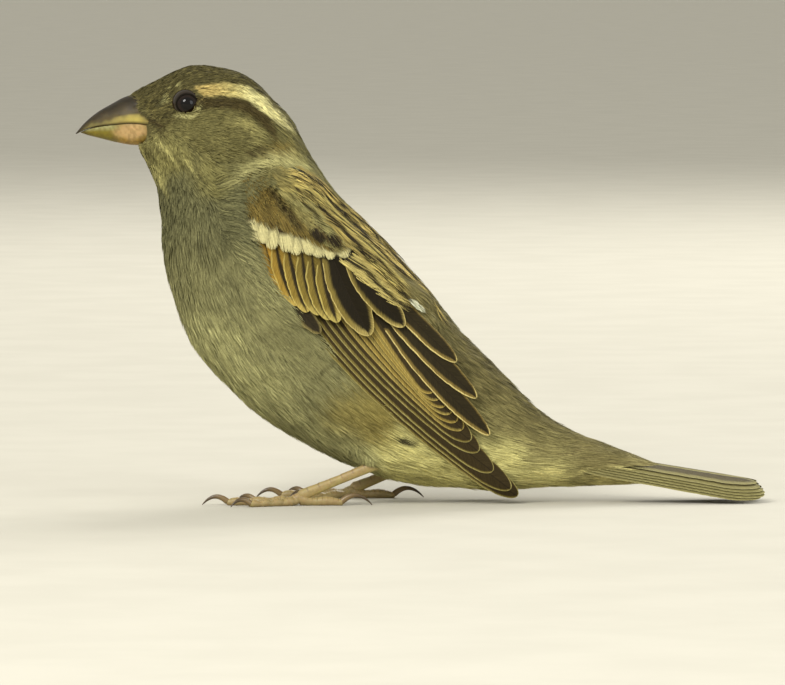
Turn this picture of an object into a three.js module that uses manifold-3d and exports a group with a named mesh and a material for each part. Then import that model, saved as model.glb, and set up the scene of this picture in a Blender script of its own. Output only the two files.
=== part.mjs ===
// A female house sparrow at life size, standing on both feet with its tail laid on the ground.
// Millimetres. +Z is up and the ground is Z = 0. The bill points along -X, so the left side is -Y.
// The body is one smooth form parted by thin cuts. Wings, tail feathers, bill, eyes and legs are pieces of their own.
import * as THREE from "three";
import { LoftGeometry } from "three/addons/geometries/LoftGeometry.js";
import { mergeVertices } from "three/addons/utils/BufferGeometryUtils.js";
import Module from "manifold-3d";

const wasm = await Module();
wasm.setup();

// ---------------------------------------------------------------- driving dimensions
const GAP = 0.3; // between neighbouring solids
const ROUND = 22; // points round the body
const RINGS_PER_STATION = 2; // body rings from one station to the next
const FINENESS = 0.03; // how far a cut piece's faces may move when small ones are merged

// The body from the bill's base to the end of the tail coverts. Each station is the plane through a point
// on the back and a point on the belly; sag puts the widest place below (+) or above (-) the middle.
const STATIONS = [
  { name: "bill base", back: [-37.7, 75.1], belly: [-35.5, 66.0], half: 3.0, sag: 0.0 },
  { name: "lores", back: [-33.3, 78.3], belly: [-34.2, 63.4], half: 4.9, sag: 0.05 },
  { name: "eyes", back: [-26.9, 80.6], belly: [-33.1, 61.0], half: 7.5, sag: 0.1 },
  { name: "crown", back: [-18.1, 80.0], belly: [-32.1, 58.6], half: 9.2, sag: 0.12 },
  { name: "ear coverts", back: [-11.8, 76.8], belly: [-31.6, 55.9], half: 9.9, sag: 0.08 },
  { name: "nape", back: [-6.4, 69.6], belly: [-31.2, 52.2], half: 10.3, sag: 0.04 },
  { name: "neck", back: [-2.4, 62.5], belly: [-31.1, 47.7], half: 11.6, sag: 0.02 },
  { name: "shoulders", back: [2.4, 55.9], belly: [-30.2, 42.0], half: 13.8, sag: 0.0 },
  { name: "breast", back: [8.9, 48.7], belly: [-27.8, 34.4], half: 15.6, sag: 0.0 },
  { name: "chest", back: [15.0, 42.4], belly: [-23.5, 26.6], half: 16.4, sag: 0.0 },
  { name: "flanks", back: [20.5, 36.1], belly: [-16.7, 19.1], half: 16.4, sag: 0.0 },
  { name: "lower back", back: [25.7, 30.1], belly: [-7.8, 12.8], half: 15.6, sag: 0.03 },
  { name: "rump", back: [30.9, 24.6], belly: [1.8, 7.8], half: 13.8, sag: 0.05 },
  { name: "vent", back: [35.0, 20.2], belly: [12.5, 4.0], half: 11.4, sag: 0.08 },
  { name: "tail base", back: [38.8, 16.6], belly: [22.6, 2.7], half: 9.2, sag: 0.08 },
  { name: "coverts", back: [43.0, 13.8], belly: [32.0, 2.3], half: 7.6, sag: 0.05 },
  { name: "long coverts", back: [47.6, 11.9], belly: [40.5, 2.6], half: 6.4, sag: 0.0 },
  { name: "covert tips", back: [52.0, 10.4], belly: [49.5, 3.1], half: 5.2, sag: 0.0 },
];
const LAST = STATIONS.length - 1;
const HEAD_END = 4.35; // the cuts, counted in stations from the bill's base
const NECK_END = 6.3;
const TRUNK_END = 13.3;

const BILL = {
  // From the tip to the root inside the head: [x, z] of the ridge, the mouth line and the keel, and half widths.
  ridge: [[-47.1, 68.0], [-44.9, 70.7], [-41.8, 73.0], [-37.7, 75.0], [-31.5, 76.0]],
  mouth: [[-46.4, 68.2], [-44.3, 69.3], [-41.3, 69.9], [-37.2, 70.0], [-31.0, 69.8]],
  keel: [[-45.9, 67.0], [-44.0, 66.8], [-41.2, 66.4], [-37.7, 65.9], [-32.0, 66.2]],
  half: [0.3, 1.5, 2.7, 3.8, 4.4],
};
const EYE = { x: -26.3, z: 73.8, radius: 2.8, proud: 1.05 }; // proud: how far it stands out of its socket's plane

const TAIL = {
  root: [38.2, 9.7], // x, z of the middle of the stack where it leaves the body
  drop: 9.3, // degrees below level
  roll: 8, // degrees that the outer edge hangs
  thick: 0.5,
  step: 0.8, // from one feather to the next below it
  lengths: [37.4, 39.4, 41.2, 42.2, 42.6, 41.8], // central pair to outer pair
  inner: 1.3, // half width of the web nearer the middle
  outer: 4.6,
  spread: 0.45, // sideways from one feather to the next
};

// Wing feathers lie in the side view. Each row runs along two lines, of roots and of tips.
const WING = {
  primaries: {
    count: 8, width: 5.2, inner: 0.3, outer: 0.9,
    roots: [[-9.6, 38.9], [-4.0, 34.6]],
    tips: [[34.0, 1.9], [34.5, 2.2], [33.2, 3.3], [29.6, 5.9], [27.0, 8.8]],
  },
  secondaries: {
    count: 6, width: 5.0, inner: 1.2, outer: 1.75,
    roots: [[-3.4, 36.2], [4.0, 36.6]],
    tips: [[26.7, 9.8], [25.2, 12.4], [23.2, 15.2]],
  },
  tertials: {
    count: 3, width: 8.2, inner: 2.05, outer: 2.75,
    roots: [[3.4, 40.2], [6.2, 42.0]],
    tips: [[29.4, 12.6], [26.6, 19.5], [23.2, 26.2]],
  },
  greater_coverts: {
    count: 7, width: 5.4, inner: 2.05, outer: 2.75,
    roots: [[-13.6, 50.2], [4.6, 45.8]],
    tips: [[-6.6, 36.2], [-1.0, 34.0], [5.5, 31.6], [13.0, 32.8]],
  },
  shoulder: {
    count: 7, width: 7.0, inner: 1.2, outer: 2.9,
    roots: [[-12.6, 58.4], [-5.2, 57.6]],
    tips: [[-14.4, 48.6], [-8.0, 46.6], [-2.0, 44.8], [4.4, 44.6]],
  },
};

const LEG = {
  hip: { x: 4.5, y: -7.4, z: 14.5, radius: 4.6 },
  knee: { x: 8.0, y: -8.4, z: 10.2, radius: 3.4 },
  heel: { x: 10.9, y: -9.2, z: 8.5, radius: 1.35 },
  foot: { x: -5.6, y: -10.0, z: 1.75, radius: 1.25 },
  stride: 9.6, // how far the right leg stands behind the left
};
const TOES = [
  { name: "toe_middle", heading: 2, length: 13.6, radius: 0.95, claw: 4.8 },
  { name: "toe_inner", heading: 27, length: 9.6, radius: 0.85, claw: 4.2 },
  { name: "toe_outer", heading: -24, length: 10.2, radius: 0.85, claw: 4.0 },
  { name: "toe_hind", heading: 178, length: 8.2, radius: 1.0, claw: 5.8 },
];
const PAD_FLAT = 0.18; // how much of a toe's underside the ground takes off

// ---------------------------------------------------------------- solids
const Y_AXIS = new THREE.Vector3(0, 1, 0);

function solidOf(geometry) {
  const bare = new THREE.BufferGeometry();
  bare.setAttribute("position", geometry.getAttribute("position"));
  bare.setIndex(geometry.index);
  const merged = mergeVertices(bare, 1e-4);
  const made = new wasm.Manifold(
    new wasm.Mesh({
      numProp: 3,
      vertProperties: merged.attributes.position.array,
      triVerts: new Uint32Array(merged.index.array),
    }),
  );
  if (made.volume() <= 0) throw new Error("a solid is inside out");
  return made;
}

function geometryOf(solid) {
  const mesh = solid.getMesh();
  const geometry = new THREE.BufferGeometry();
  geometry.setAttribute("position", new THREE.BufferAttribute(mesh.vertProperties, 3));
  geometry.setIndex(new THREE.BufferAttribute(mesh.triVerts, 1));
  geometry.computeVertexNormals();
  return geometry;
}

const union = (solids) => solids.reduce((all, one) => all.add(one));

// A cut can leave slivers beside the piece that is wanted.
const largestOf = (solid) => solid.decompose().sort((a, b) => b.volume() - a.volume())[0];

function boxSolid(low, high) {
  const size = new THREE.Vector3().subVectors(high, low);
  const middle = new THREE.Vector3().addVectors(low, high).multiplyScalar(0.5);
  return solidOf(new THREE.BoxGeometry(size.x, size.y, size.z).translate(middle.x, middle.y, middle.z));
}

const BELOW_GROUND = boxSolid(new THREE.Vector3(-90, -60, -20), new THREE.Vector3(110, 60, 0));
const aboveGround = (solid) => solid.subtract(BELOW_GROUND);

const middleOf = (ring) => ring.reduce((sum, p) => sum.add(p), new THREE.Vector3()).divideScalar(ring.length);

// A closed skin through rings of points. The rings are turned round when they wind against the loft's direction.
function loftSolid(rings) {
  const ring = rings[0];
  const normal = new THREE.Vector3();
  ring.forEach((p, i) => normal.add(new THREE.Vector3().crossVectors(p, ring[(i + 1) % ring.length])));
  const ahead = middleOf(rings[1]).sub(middleOf(ring));
  const wound = normal.dot(ahead) < 0 ? rings.map((r) => [...r].reverse()) : rings;
  return solidOf(new LoftGeometry(wound, { capStart: true, capEnd: true }));
}

// The same geometry seen in the bird's plane of symmetry.
function mirrored(geometry) {
  const twin = geometry.clone();
  const position = twin.getAttribute("position");
  for (let i = 0; i < position.count; i++) position.setY(i, -position.getY(i));
  const order = twin.index.array;
  for (let i = 0; i < order.length; i += 3) [order[i + 1], order[i + 2]] = [order[i + 2], order[i + 1]];
  twin.computeVertexNormals();
  return twin;
}

// ---------------------------------------------------------------- body form
const curveThrough = (pairs) => new THREE.CatmullRomCurve3(pairs.map(([x, z]) => new THREE.Vector3(x, 0, z)));
const backLine = curveThrough(STATIONS.map((s) => s.back));
const bellyLine = curveThrough(STATIONS.map((s) => s.belly));
const girthLine = curveThrough(STATIONS.map((s) => [s.half, s.sag]));

const bent = (value, power) => Math.sign(value) * Math.abs(value) ** power;

// One ring of the body, grown outwards by grow. A boxy ring has upright sides below the middle, which is how
// a folded wing hangs beside the belly instead of curling under it. shift moves the ring along the body.
function bodyRing(station, { grow = 0, boxy = false, shift = 0 } = {}) {
  const at = station / LAST;
  const back = backLine.getPoint(at);
  const belly = bellyLine.getPoint(at);
  const girth = girthLine.getPoint(at);
  const up = new THREE.Vector3().subVectors(back, belly);
  const depth = up.length() / 2 + grow;
  up.normalize();
  const along = new THREE.Vector3().crossVectors(Y_AXIS, up);
  const centre = new THREE.Vector3().addVectors(back, belly).multiplyScalar(0.5).addScaledVector(along, shift);
  const ring = [];
  for (let i = 0; i < ROUND; i++) {
    const angle = (2 * Math.PI * i) / ROUND;
    const high = Math.cos(angle);
    const side = Math.sin(angle);
    const hangs = boxy && high < 0;
    const width = (girth.x + grow) * (1 - girth.z * high);
    ring.push(
      centre
        .clone()
        .addScaledVector(up, depth * high * (hangs ? 1.18 : 1))
        .addScaledVector(Y_AXIS, width * bent(side, hangs ? 0.2 : 0.95)),
    );
  }
  return ring;
}

function bodyForm(from, to, { grow = 0, boxy = false, cut = 0 } = {}) {
  const count = Math.ceil((to - from) * RINGS_PER_STATION);
  const rings = [];
  for (let i = 0; i <= count; i++) {
    const shift = i === 0 ? cut : i === count ? -cut : 0;
    rings.push(bodyRing(from + ((to - from) * i) / count, { grow, boxy, shift }));
  }
  return loftSolid(rings);
}

// How far the body's left surface lies from the middle plane at a place in the side view.
function halfWidthAt(x, z) {
  let best = { miss: Infinity, y: 0 };
  for (let station = 0; station <= LAST; station += 0.05) {
    const ring = bodyRing(station);
    for (let i = 0; i < ROUND / 2; i++) {
      const [a, b] = [ring[i], ring[i + 1]];
      for (let t = 0; t <= 1; t += 0.1) {
        const p = new THREE.Vector3().lerpVectors(a, b, t);
        const miss = Math.hypot(p.x - x, p.z - z);
        if (miss < best.miss) best = { miss, y: Math.abs(p.y) };
      }
    }
  }
  return best.y;
}

// ---------------------------------------------------------------- bill and eyes
// A mandible between an upper and a lower line. The flat side is at the mouth and the other side is domed.
function mandible(top, bottom, { domeUp, grow = 0 }) {
  const upper = curveThrough(top);
  const lower = curveThrough(bottom);
  const girth = curveThrough(BILL.half.map((half) => [half, 0]));
  const count = 8;
  const around = 12;
  const rings = [];
  for (let i = 0; i <= count; i++) {
    const a = upper.getPoint(i / count);
    const b = lower.getPoint(i / count);
    const flat = domeUp ? b : a;
    const dome = domeUp ? a : b;
    const rise = new THREE.Vector3().subVectors(dome, flat);
    const ring = [];
    for (let j = 0; j < around; j++) {
      const angle = (2 * Math.PI * j) / around;
      const high = Math.cos(angle);
      const lift = high > 0 ? high ** 0.85 : high * 0.06;
      const half = (girth.getPoint(i / count).x + grow) * (domeUp ? 1 : 0.93);
      ring.push(
        flat
          .clone()
          .addScaledVector(rise, lift)
          .addScaledVector(rise.clone().normalize(), grow * high)
          .addScaledVector(Y_AXIS, half * bent(Math.sin(angle), 0.8)),
      );
    }
    rings.push(ring);
  }
  return loftSolid(rings);
}

const lowered = (line, by) => line.map(([x, z]) => [x, z - by]);
const upperBill = (grow) => mandible(BILL.ridge, BILL.mouth, { domeUp: true, grow });
const lowerBill = (grow) => mandible(lowered(BILL.mouth, 0.62), BILL.keel, { domeUp: false, grow });

function ball(radius, centre) {
  const sphere = new THREE.SphereGeometry(radius, 16, 9);
  return solidOf(sphere.translate(centre.x, centre.y, centre.z));
}

const eyeCentre = new THREE.Vector3(EYE.x, -(halfWidthAt(EYE.x, EYE.z) + EYE.proud - EYE.radius), EYE.z);

// ---------------------------------------------------------------- tail
// A feather's outline along +X, with its narrow web towards +Y and a rounded end.
function tailVane(length) {
  const { inner, outer } = TAIL;
  const shape = new THREE.Shape();
  shape.moveTo(0, inner);
  shape.lineTo(length * 0.93, inner);
  shape.quadraticCurveTo(length, inner, length, -outer * 0.25);
  shape.quadraticCurveTo(length * 0.995, -outer * 0.95, length * 0.92, -outer);
  shape.lineTo(length * 0.5, -outer * 0.92);
  shape.lineTo(0, -outer * 0.55);
  shape.closePath();
  return shape;
}

// The left feather of one pair, counted from the top of the stack.
function tailFeather(pair, grow = 0) {
  const radians = THREE.MathUtils.degToRad;
  const middle = (TAIL.lengths.length - 1) / 2;
  const plate = new THREE.ExtrudeGeometry(tailVane(TAIL.lengths[pair]), {
    depth: TAIL.thick + 2 * grow,
    bevelEnabled: false,
    curveSegments: 4,
  });
  const level = (middle - pair) * TAIL.step - TAIL.thick / 2 - grow;
  plate.translate(0, -(TAIL.inner + GAP / 2 + pair * TAIL.spread), level);
  plate.rotateX(radians(TAIL.roll));
  plate.rotateY(radians(TAIL.drop));
  return plate.translate(TAIL.root[0], 0, TAIL.root[1]);
}

// ---------------------------------------------------------------- wings
// A feather's outline from its root along +X: narrow quill end, broad vane, rounded tip.
function wingVane(length, width) {
  const half = width / 2;
  const shape = new THREE.Shape();
  shape.moveTo(0, -half * 0.45);
  shape.quadraticCurveTo(length * 0.3, -half, length * 0.62, -half);
  shape.quadraticCurveTo(length * 0.93, -half, length, 0);
  shape.quadraticCurveTo(length * 0.93, half, length * 0.62, half);
  shape.quadraticCurveTo(length * 0.3, half, 0, half * 0.45);
  shape.closePath();
  return shape;
}

// The row's outline as one solid that runs sideways through the whole left half.
function rowPrism(row, grow = 0) {
  const roots = curveThrough(row.roots);
  const tips = curveThrough(row.tips);
  const prisms = [];
  for (let i = 0; i < row.count; i++) {
    const at = i / (row.count - 1);
    const root = roots.getPoint(at);
    const tip = tips.getPoint(at);
    const angle = Math.atan2(tip.z - root.z, tip.x - root.x);
    const plate = new THREE.ExtrudeGeometry(wingVane(root.distanceTo(tip) + grow, row.width + 2 * grow), {
      depth: 30,
      bevelEnabled: false,
      curveSegments: 3,
    });
    plate.rotateZ(angle).translate(root.x, root.z, 0).rotateX(Math.PI / 2).translate(0, -2, 0);
    prisms.push(solidOf(plate));
  }
  return union(prisms);
}

const WING_FROM = 4.9; // stations that the wing's shells span
const shell = (inner, outer) =>
  bodyForm(WING_FROM, LAST, { grow: outer, boxy: true }).subtract(
    bodyForm(WING_FROM, LAST, { grow: inner, boxy: true }),
  );

const wingLayer = (row) => rowPrism(row).intersect(shell(row.inner, row.outer));

// ---------------------------------------------------------------- legs
// A round limb through centres with a radius at each; flattened makes it lower than wide.
function limb(centres, radii, { around = 10, flattened = 1 } = {}) {
  const rings = centres.map((centre, i) => {
    const ahead = new THREE.Vector3()
      .subVectors(centres[Math.min(i + 1, centres.length - 1)], centres[Math.max(i - 1, 0)])
      .normalize();
    const across = new THREE.Vector3(-ahead.y, ahead.x, 0).normalize();
    const up = new THREE.Vector3().crossVectors(ahead, across);
    const ring = [];
    for (let j = 0; j < around; j++) {
      const angle = (2 * Math.PI * (j + 0.5)) / around;
      ring.push(
        centre
          .clone()
          .addScaledVector(across, radii[i] * Math.cos(angle))
          .addScaledVector(up, radii[i] * flattened * Math.sin(angle)),
      );
    }
    return ring;
  });
  return loftSolid(rings);
}

const place = ({ x, y, z }, dx) => new THREE.Vector3(x + dx, y, z);

function thigh(dx, grow = 0) {
  const { hip, knee, heel } = LEG;
  const joints = [hip, knee, { ...heel, x: heel.x - 0.2, radius: heel.radius + 0.7 }];
  return limb(joints.map((j) => place(j, dx)), joints.map((j) => j.radius + grow), { around: 14 });
}

function tarsus(dx, grow = 0) {
  const heel = place(LEG.heel, dx);
  const foot = place(LEG.foot, dx);
  const shares = [0.09, 0.2, 0.5, 0.85, 1];
  const radii = [1.1, 0.95, 0.85, 0.95, 1.2].map((r) => r + grow);
  const shank = limb(shares.map((t) => new THREE.Vector3().lerpVectors(heel, foot, t)), radii);
  const ankle = new THREE.SphereGeometry(LEG.foot.radius + 0.45 + grow, 8, 6);
  return shank.add(solidOf(ankle.translate(foot.x, foot.y, foot.z - 0.35)));
}

// A toe's centre line runs flat on the ground, bulging at each joint; its claw arches down to the ground.
function toeLine(toe, dx, from, to, count) {
  const heading = THREE.MathUtils.degToRad(toe.heading);
  const foot = place(LEG.foot, dx);
  const points = [];
  for (let i = 0; i <= count; i++) {
    const along = from + ((to - from) * i) / count;
    points.push(new THREE.Vector3(foot.x - along * Math.cos(heading), foot.y + along * Math.sin(heading), 0));
  }
  return points;
}

function toe(spec, dx, grow = 0) {
  const count = 6;
  const points = toeLine(spec, dx, 0.6, spec.length, count);
  const radii = points.map((_, i) => {
    const t = i / count;
    const bulge = 0.05 * Math.cos(6 * Math.PI * t);
    return spec.radius * (1 - 0.28 * t + bulge) + grow;
  });
  points.forEach((p, i) => {
    const t = i / count;
    const rise = LEG.foot.z - spec.radius;
    p.z = radii[i] - grow - PAD_FLAT + rise * Math.max(0, 1 - 4 * t) ** 2;
  });
  return limb(points, radii, { around: 8 });
}

function claw(spec, dx) {
  const count = 5;
  const start = spec.length + GAP;
  const points = toeLine(spec, dx, start, start + spec.claw * 0.92, count);
  const radii = points.map((_, i) => 0.55 * (1 - i / count) ** 0.8 + 0.12);
  points.forEach((p, i) => {
    const t = i / count;
    p.z = 0.62 + spec.claw * 0.95 * t * (1 - t) - (0.62 - 0.16) * t;
  });
  return limb(points, radii, { around: 6 });
}

function legSolids(dx) {
  const feathered = thigh(dx, GAP).add(bodyForm(NECK_END, TRUNK_END, { grow: GAP }));
  const parts = { thigh: thigh(dx), tarsus: largestOf(aboveGround(tarsus(dx).subtract(feathered))) };
  const taken = [tarsus(dx, GAP)];
  for (const spec of TOES) {
    parts[spec.name] = largestOf(aboveGround(toe(spec, dx).subtract(union(taken)))).simplify(FINENESS);
    taken.push(toe(spec, dx, GAP));
    parts[spec.name.replace("toe", "claw")] = aboveGround(claw(spec, dx));
  }
  return parts;
}

// ---------------------------------------------------------------- assembly
const COLOURS = {
  plumage_head: [0x6a6440, 0.9],
  plumage_body: [0x8a8560, 0.9],
  plumage_wing: [0x5a4c30, 0.8],
  plumage_tail: [0x6b6146, 0.8],
  horn: [0x8a7a55, 0.45],
  eye: [0x1a120c, 0.08],
  leg: [0xa08862, 0.6],
  claw: [0x5c5040, 0.4],
};

const sparrow = new THREE.Group();

function addPart(name, geometry, kind) {
  const [color, roughness] = COLOURS[kind];
  const mesh = new THREE.Mesh(geometry, new THREE.MeshStandardMaterial({ color, roughness, metalness: 0 }));
  mesh.name = name;
  sparrow.add(mesh);
}

function addPair(stem, solid, kind) {
  const geometry = geometryOf(solid.simplify(FINENESS));
  addPart(`left_${stem}`, geometry, kind);
  addPart(`right_${stem}`, mirrored(geometry), kind);
}

function addHead() {
  const bill = upperBill(GAP).add(lowerBill(GAP));
  const socket = ball(EYE.radius + GAP, eyeCentre);
  const farSocket = solidOf(mirrored(geometryOf(socket)));
  const head = bodyForm(0, HEAD_END, { cut: GAP / 2 }).subtract(bill).subtract(socket).subtract(farSocket);
  addPart("head", geometryOf(largestOf(head).simplify(FINENESS)), "plumage_head");
  addPart("bill_upper", geometryOf(upperBill(0)), "horn");
  addPart("bill_lower", geometryOf(lowerBill(0)), "horn");
  addPair("eye", ball(EYE.radius, eyeCentre), "eye");
}

function addBody() {
  const leftThigh = thigh(0, GAP);
  const rightThigh = solidOf(mirrored(geometryOf(thigh(LEG.stride, GAP))));
  const trunk = bodyForm(NECK_END, TRUNK_END, { cut: GAP / 2 }).subtract(leftThigh).subtract(rightThigh);
  addPart("neck", geometryOf(bodyForm(HEAD_END, NECK_END, { cut: GAP / 2 })), "plumage_body");
  addPart("trunk", geometryOf(trunk.simplify(FINENESS)), "plumage_body");
}

// The coverts wrap the roots of the tail feathers, over and under them.
function addTail() {
  const slots = [];
  TAIL.lengths.forEach((_, pair) => {
    const feather = tailFeather(pair);
    const slot = solidOf(tailFeather(pair, GAP));
    slots.push(slot, solidOf(mirrored(geometryOf(slot))));
    addPair(`tail_feather_${pair + 1}`, aboveGround(solidOf(feather)), "plumage_tail");
  });
  const stack = TAIL.thick / 2 + GAP + (TAIL.step * (TAIL.lengths.length - 1)) / 2;
  const slit = new THREE.BoxGeometry(40, 40, 2 * stack).translate(20 - GAP, 0, 0);
  slit.rotateY(THREE.MathUtils.degToRad(TAIL.drop)).translate(TAIL.root[0], 0, TAIL.root[1]);
  const coverts = bodyForm(TRUNK_END, LAST, { cut: GAP / 2 }).subtract(solidOf(slit)).subtract(union(slots));
  const cutter = solidOf(
    new THREE.BoxGeometry(80, 60, GAP)
      .rotateY(THREE.MathUtils.degToRad(TAIL.drop))
      .translate(TAIL.root[0], 0, TAIL.root[1]),
  );
  const halves = coverts.subtract(cutter).decompose().sort((a, b) => b.volume() - a.volume());
  const [first, second] = halves;
  const height = (solid) => solid.boundingBox().max[2];
  const [over, under] = height(first) > height(second) ? [first, second] : [second, first];
  addPart("tail_coverts_over", geometryOf(over.simplify(FINENESS)), "plumage_body");
  addPart("tail_coverts_under", geometryOf(under.simplify(FINENESS)), "plumage_body");
}

function addWings() {
  const { shoulder, greater_coverts, tertials, secondaries, primaries } = WING;
  const shoulderClear = rowPrism(shoulder, GAP);
  const covertsClear = rowPrism(greater_coverts, GAP);
  addPair("wing_shoulder", wingLayer(shoulder), "plumage_wing");
  addPair("wing_greater_coverts", wingLayer(greater_coverts).subtract(shoulderClear), "plumage_wing");
  addPair("wing_tertials", wingLayer(tertials).subtract(shoulderClear).subtract(covertsClear), "plumage_wing");
  addPair("wing_secondaries", wingLayer(secondaries).subtract(shoulderClear), "plumage_wing");
  addPair("wing_primaries", wingLayer(primaries), "plumage_wing");
}

const PART_KINDS = { thigh: "plumage_body", tarsus: "leg", toe: "leg", claw: "claw" };

function addLeg(side, dx) {
  for (const [name, solid] of Object.entries(legSolids(dx))) {
    const geometry = geometryOf(solid);
    addPart(`${side}_${name}`, side === "left" ? geometry : mirrored(geometry), PART_KINDS[name.split("_")[0]]);
  }
}

addHead();
addBody();
addWings();
addTail();
addLeg("left", 0);
addLeg("right", LEG.stride);

// The frame's origin is on the ground under the middle of the bird's bounds.
const bounds = new THREE.Box3().setFromObject(sparrow);
sparrow.position.set(-(bounds.min.x + bounds.max.x) / 2, -(bounds.min.y + bounds.max.y) / 2, -bounds.min.z);

export default sparrow;
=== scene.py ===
"""The looks of a house sparrow: skin, plumage, bill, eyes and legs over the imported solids.

Lengths are millimetres until a mesh is made: x runs from bill to tail, y towards the bird's right, z up, with
the floor at z = 0. Markings are given as (across, down) on a side view of VIEW millimetres a unit.
"""

import itertools
import math

import bpy
import numpy as np
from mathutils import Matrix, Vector


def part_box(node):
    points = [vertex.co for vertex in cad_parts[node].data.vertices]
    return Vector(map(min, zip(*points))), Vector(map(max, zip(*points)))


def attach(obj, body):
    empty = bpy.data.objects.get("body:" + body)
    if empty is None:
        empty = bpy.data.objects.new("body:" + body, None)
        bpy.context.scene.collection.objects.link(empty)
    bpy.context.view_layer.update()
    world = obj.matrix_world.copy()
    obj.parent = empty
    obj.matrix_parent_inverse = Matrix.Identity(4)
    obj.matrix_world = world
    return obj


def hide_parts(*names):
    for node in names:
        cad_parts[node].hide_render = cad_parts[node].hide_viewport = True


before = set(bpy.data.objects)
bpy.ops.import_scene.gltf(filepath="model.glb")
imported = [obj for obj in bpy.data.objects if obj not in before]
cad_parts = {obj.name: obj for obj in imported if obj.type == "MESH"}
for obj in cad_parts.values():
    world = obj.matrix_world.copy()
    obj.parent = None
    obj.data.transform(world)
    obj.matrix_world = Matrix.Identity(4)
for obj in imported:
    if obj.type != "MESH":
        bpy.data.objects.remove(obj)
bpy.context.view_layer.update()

# ---------------------------------------------------------------- the frame
MM = 0.001
EYE = (-26.3, 73.8)  # x and z of the eyes
VIEW = 0.185  # mm in a unit of the side view
ZERO = (330, 502)  # where x = 0, z = 0 lies in the side view
EYE_SEEN = (188, 103)  # where the eye lies in the side view
CAMERA_RISE = math.radians(3)
SEEN = math.tan(CAMERA_RISE)  # how much lower a point shows for each mm nearer the camera


def node_middle(name):
    low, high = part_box(name)
    return np.array((low + high) / 2)


left_eye, right_eye = node_middle("left_eye"), node_middle("right_eye")
ORIGIN = (left_eye + right_eye) / 2 - np.array([EYE[0], 0, EYE[1]]) * MM
EYE_Y = abs(left_eye[1] - right_eye[1]) * 500  # half the distance between the eyes, in mm


def to_row(points):
    return np.asarray(points) * MM + ORIGIN


def side(x, z):
    """Millimetres to the side view's units."""
    return ZERO[0] + np.asarray(x) / VIEW, ZERO[1] - np.asarray(z) / VIEW


def view_of(points):
    """Where points lie in the side view."""
    return side(points[..., 0], points[..., 2])


def place(across, down):
    """The side view's units to millimetres."""
    return (np.asarray(across, float) - ZERO[0]) * VIEW, (ZERO[1] - np.asarray(down, float)) * VIEW


def eye_gap(a, d):
    """Millimetres from the eye's middle, in the side view."""
    return np.hypot(a - EYE_SEEN[0], d - EYE_SEEN[1]) * VIEW


def srgb(*rgb):
    """A display colour, 0 to 255, in linear light."""
    c = np.asarray(rgb, float) / 255
    return np.where(c <= 0.04045, c / 12.92, ((c + 0.055) / 1.055) ** 2.4)


def smooth(low, high, value):
    t = np.clip((value - low) / (high - low), 0, 1)
    return t * t * (3 - 2 * t)


def noise(points, scale, seed=0.0):
    """Smooth value noise from 0 to 1 at points in millimetres."""
    q = np.asarray(points) / scale
    cell = np.floor(q)
    f = q - cell
    f = f * f * (3 - 2 * f)
    total = 0
    for corner in range(8):
        bit = np.array([corner & 1, corner >> 1 & 1, corner >> 2 & 1])
        weight = np.prod(np.where(bit, f, 1 - f), axis=-1)
        # the usual hash of a cell: the fraction of a large sine
        wave = np.sin((cell + bit) @ np.array([127.1, 311.7, 74.7]) + seed * 17.3) * 43758.5453
        total = total + weight * (wave - np.floor(wave))
    return total


def polyline_distance(a, d, line):
    """Distance from points of the side view to a polyline, and how far along it the nearest place is."""
    a, d = np.asarray(a, float), np.asarray(d, float)
    best, along = np.full(a.shape, 1e9), np.zeros(a.shape)
    line = np.asarray(line, float)
    for i in range(len(line) - 1):
        p, step = line[i, :2], line[i + 1, :2] - line[i, :2]
        t = np.clip(((a - p[0]) * step[0] + (d - p[1]) * step[1]) / (step @ step), 0, 1)
        miss = np.hypot(a - p[0] - t * step[0], d - p[1] - t * step[1])
        closer = miss < best
        best, along = np.where(closer, miss, best), np.where(closer, i + t, along)
    return best, along


def inside(a, d, outline):
    result = np.zeros(np.shape(a), bool)
    outline = np.asarray(outline, float)
    for (x0, y0), (x1, y1) in zip(outline, np.roll(outline, -1, axis=0)):
        crosses = (y0 > d) != (y1 > d)
        result ^= crosses & (a < (x1 - x0) * (d - y0) / (y1 - y0 + 1e-12) + x0)
    return result


def bilinear(table, i, j):
    """Values of a table at row i and column j, which may lie between its cells."""
    i = np.clip(i, 0, table.shape[0] - 1.001)
    j = np.clip(j, 0, table.shape[1] - 1.001)
    a, b = i.astype(int), j.astype(int)
    u, v = i - a, j - b
    low = table[a, b] * (1 - u) + table[a + 1, b] * u
    high = table[a, b + 1] * (1 - u) + table[a + 1, b + 1] * u
    return low * (1 - v) + high * v


# ---------------------------------------------------------------- meshes
TONE = np.array([0.84, 0.82, 0.69])  # the photograph's warm cast, on every colour of the bird


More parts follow.
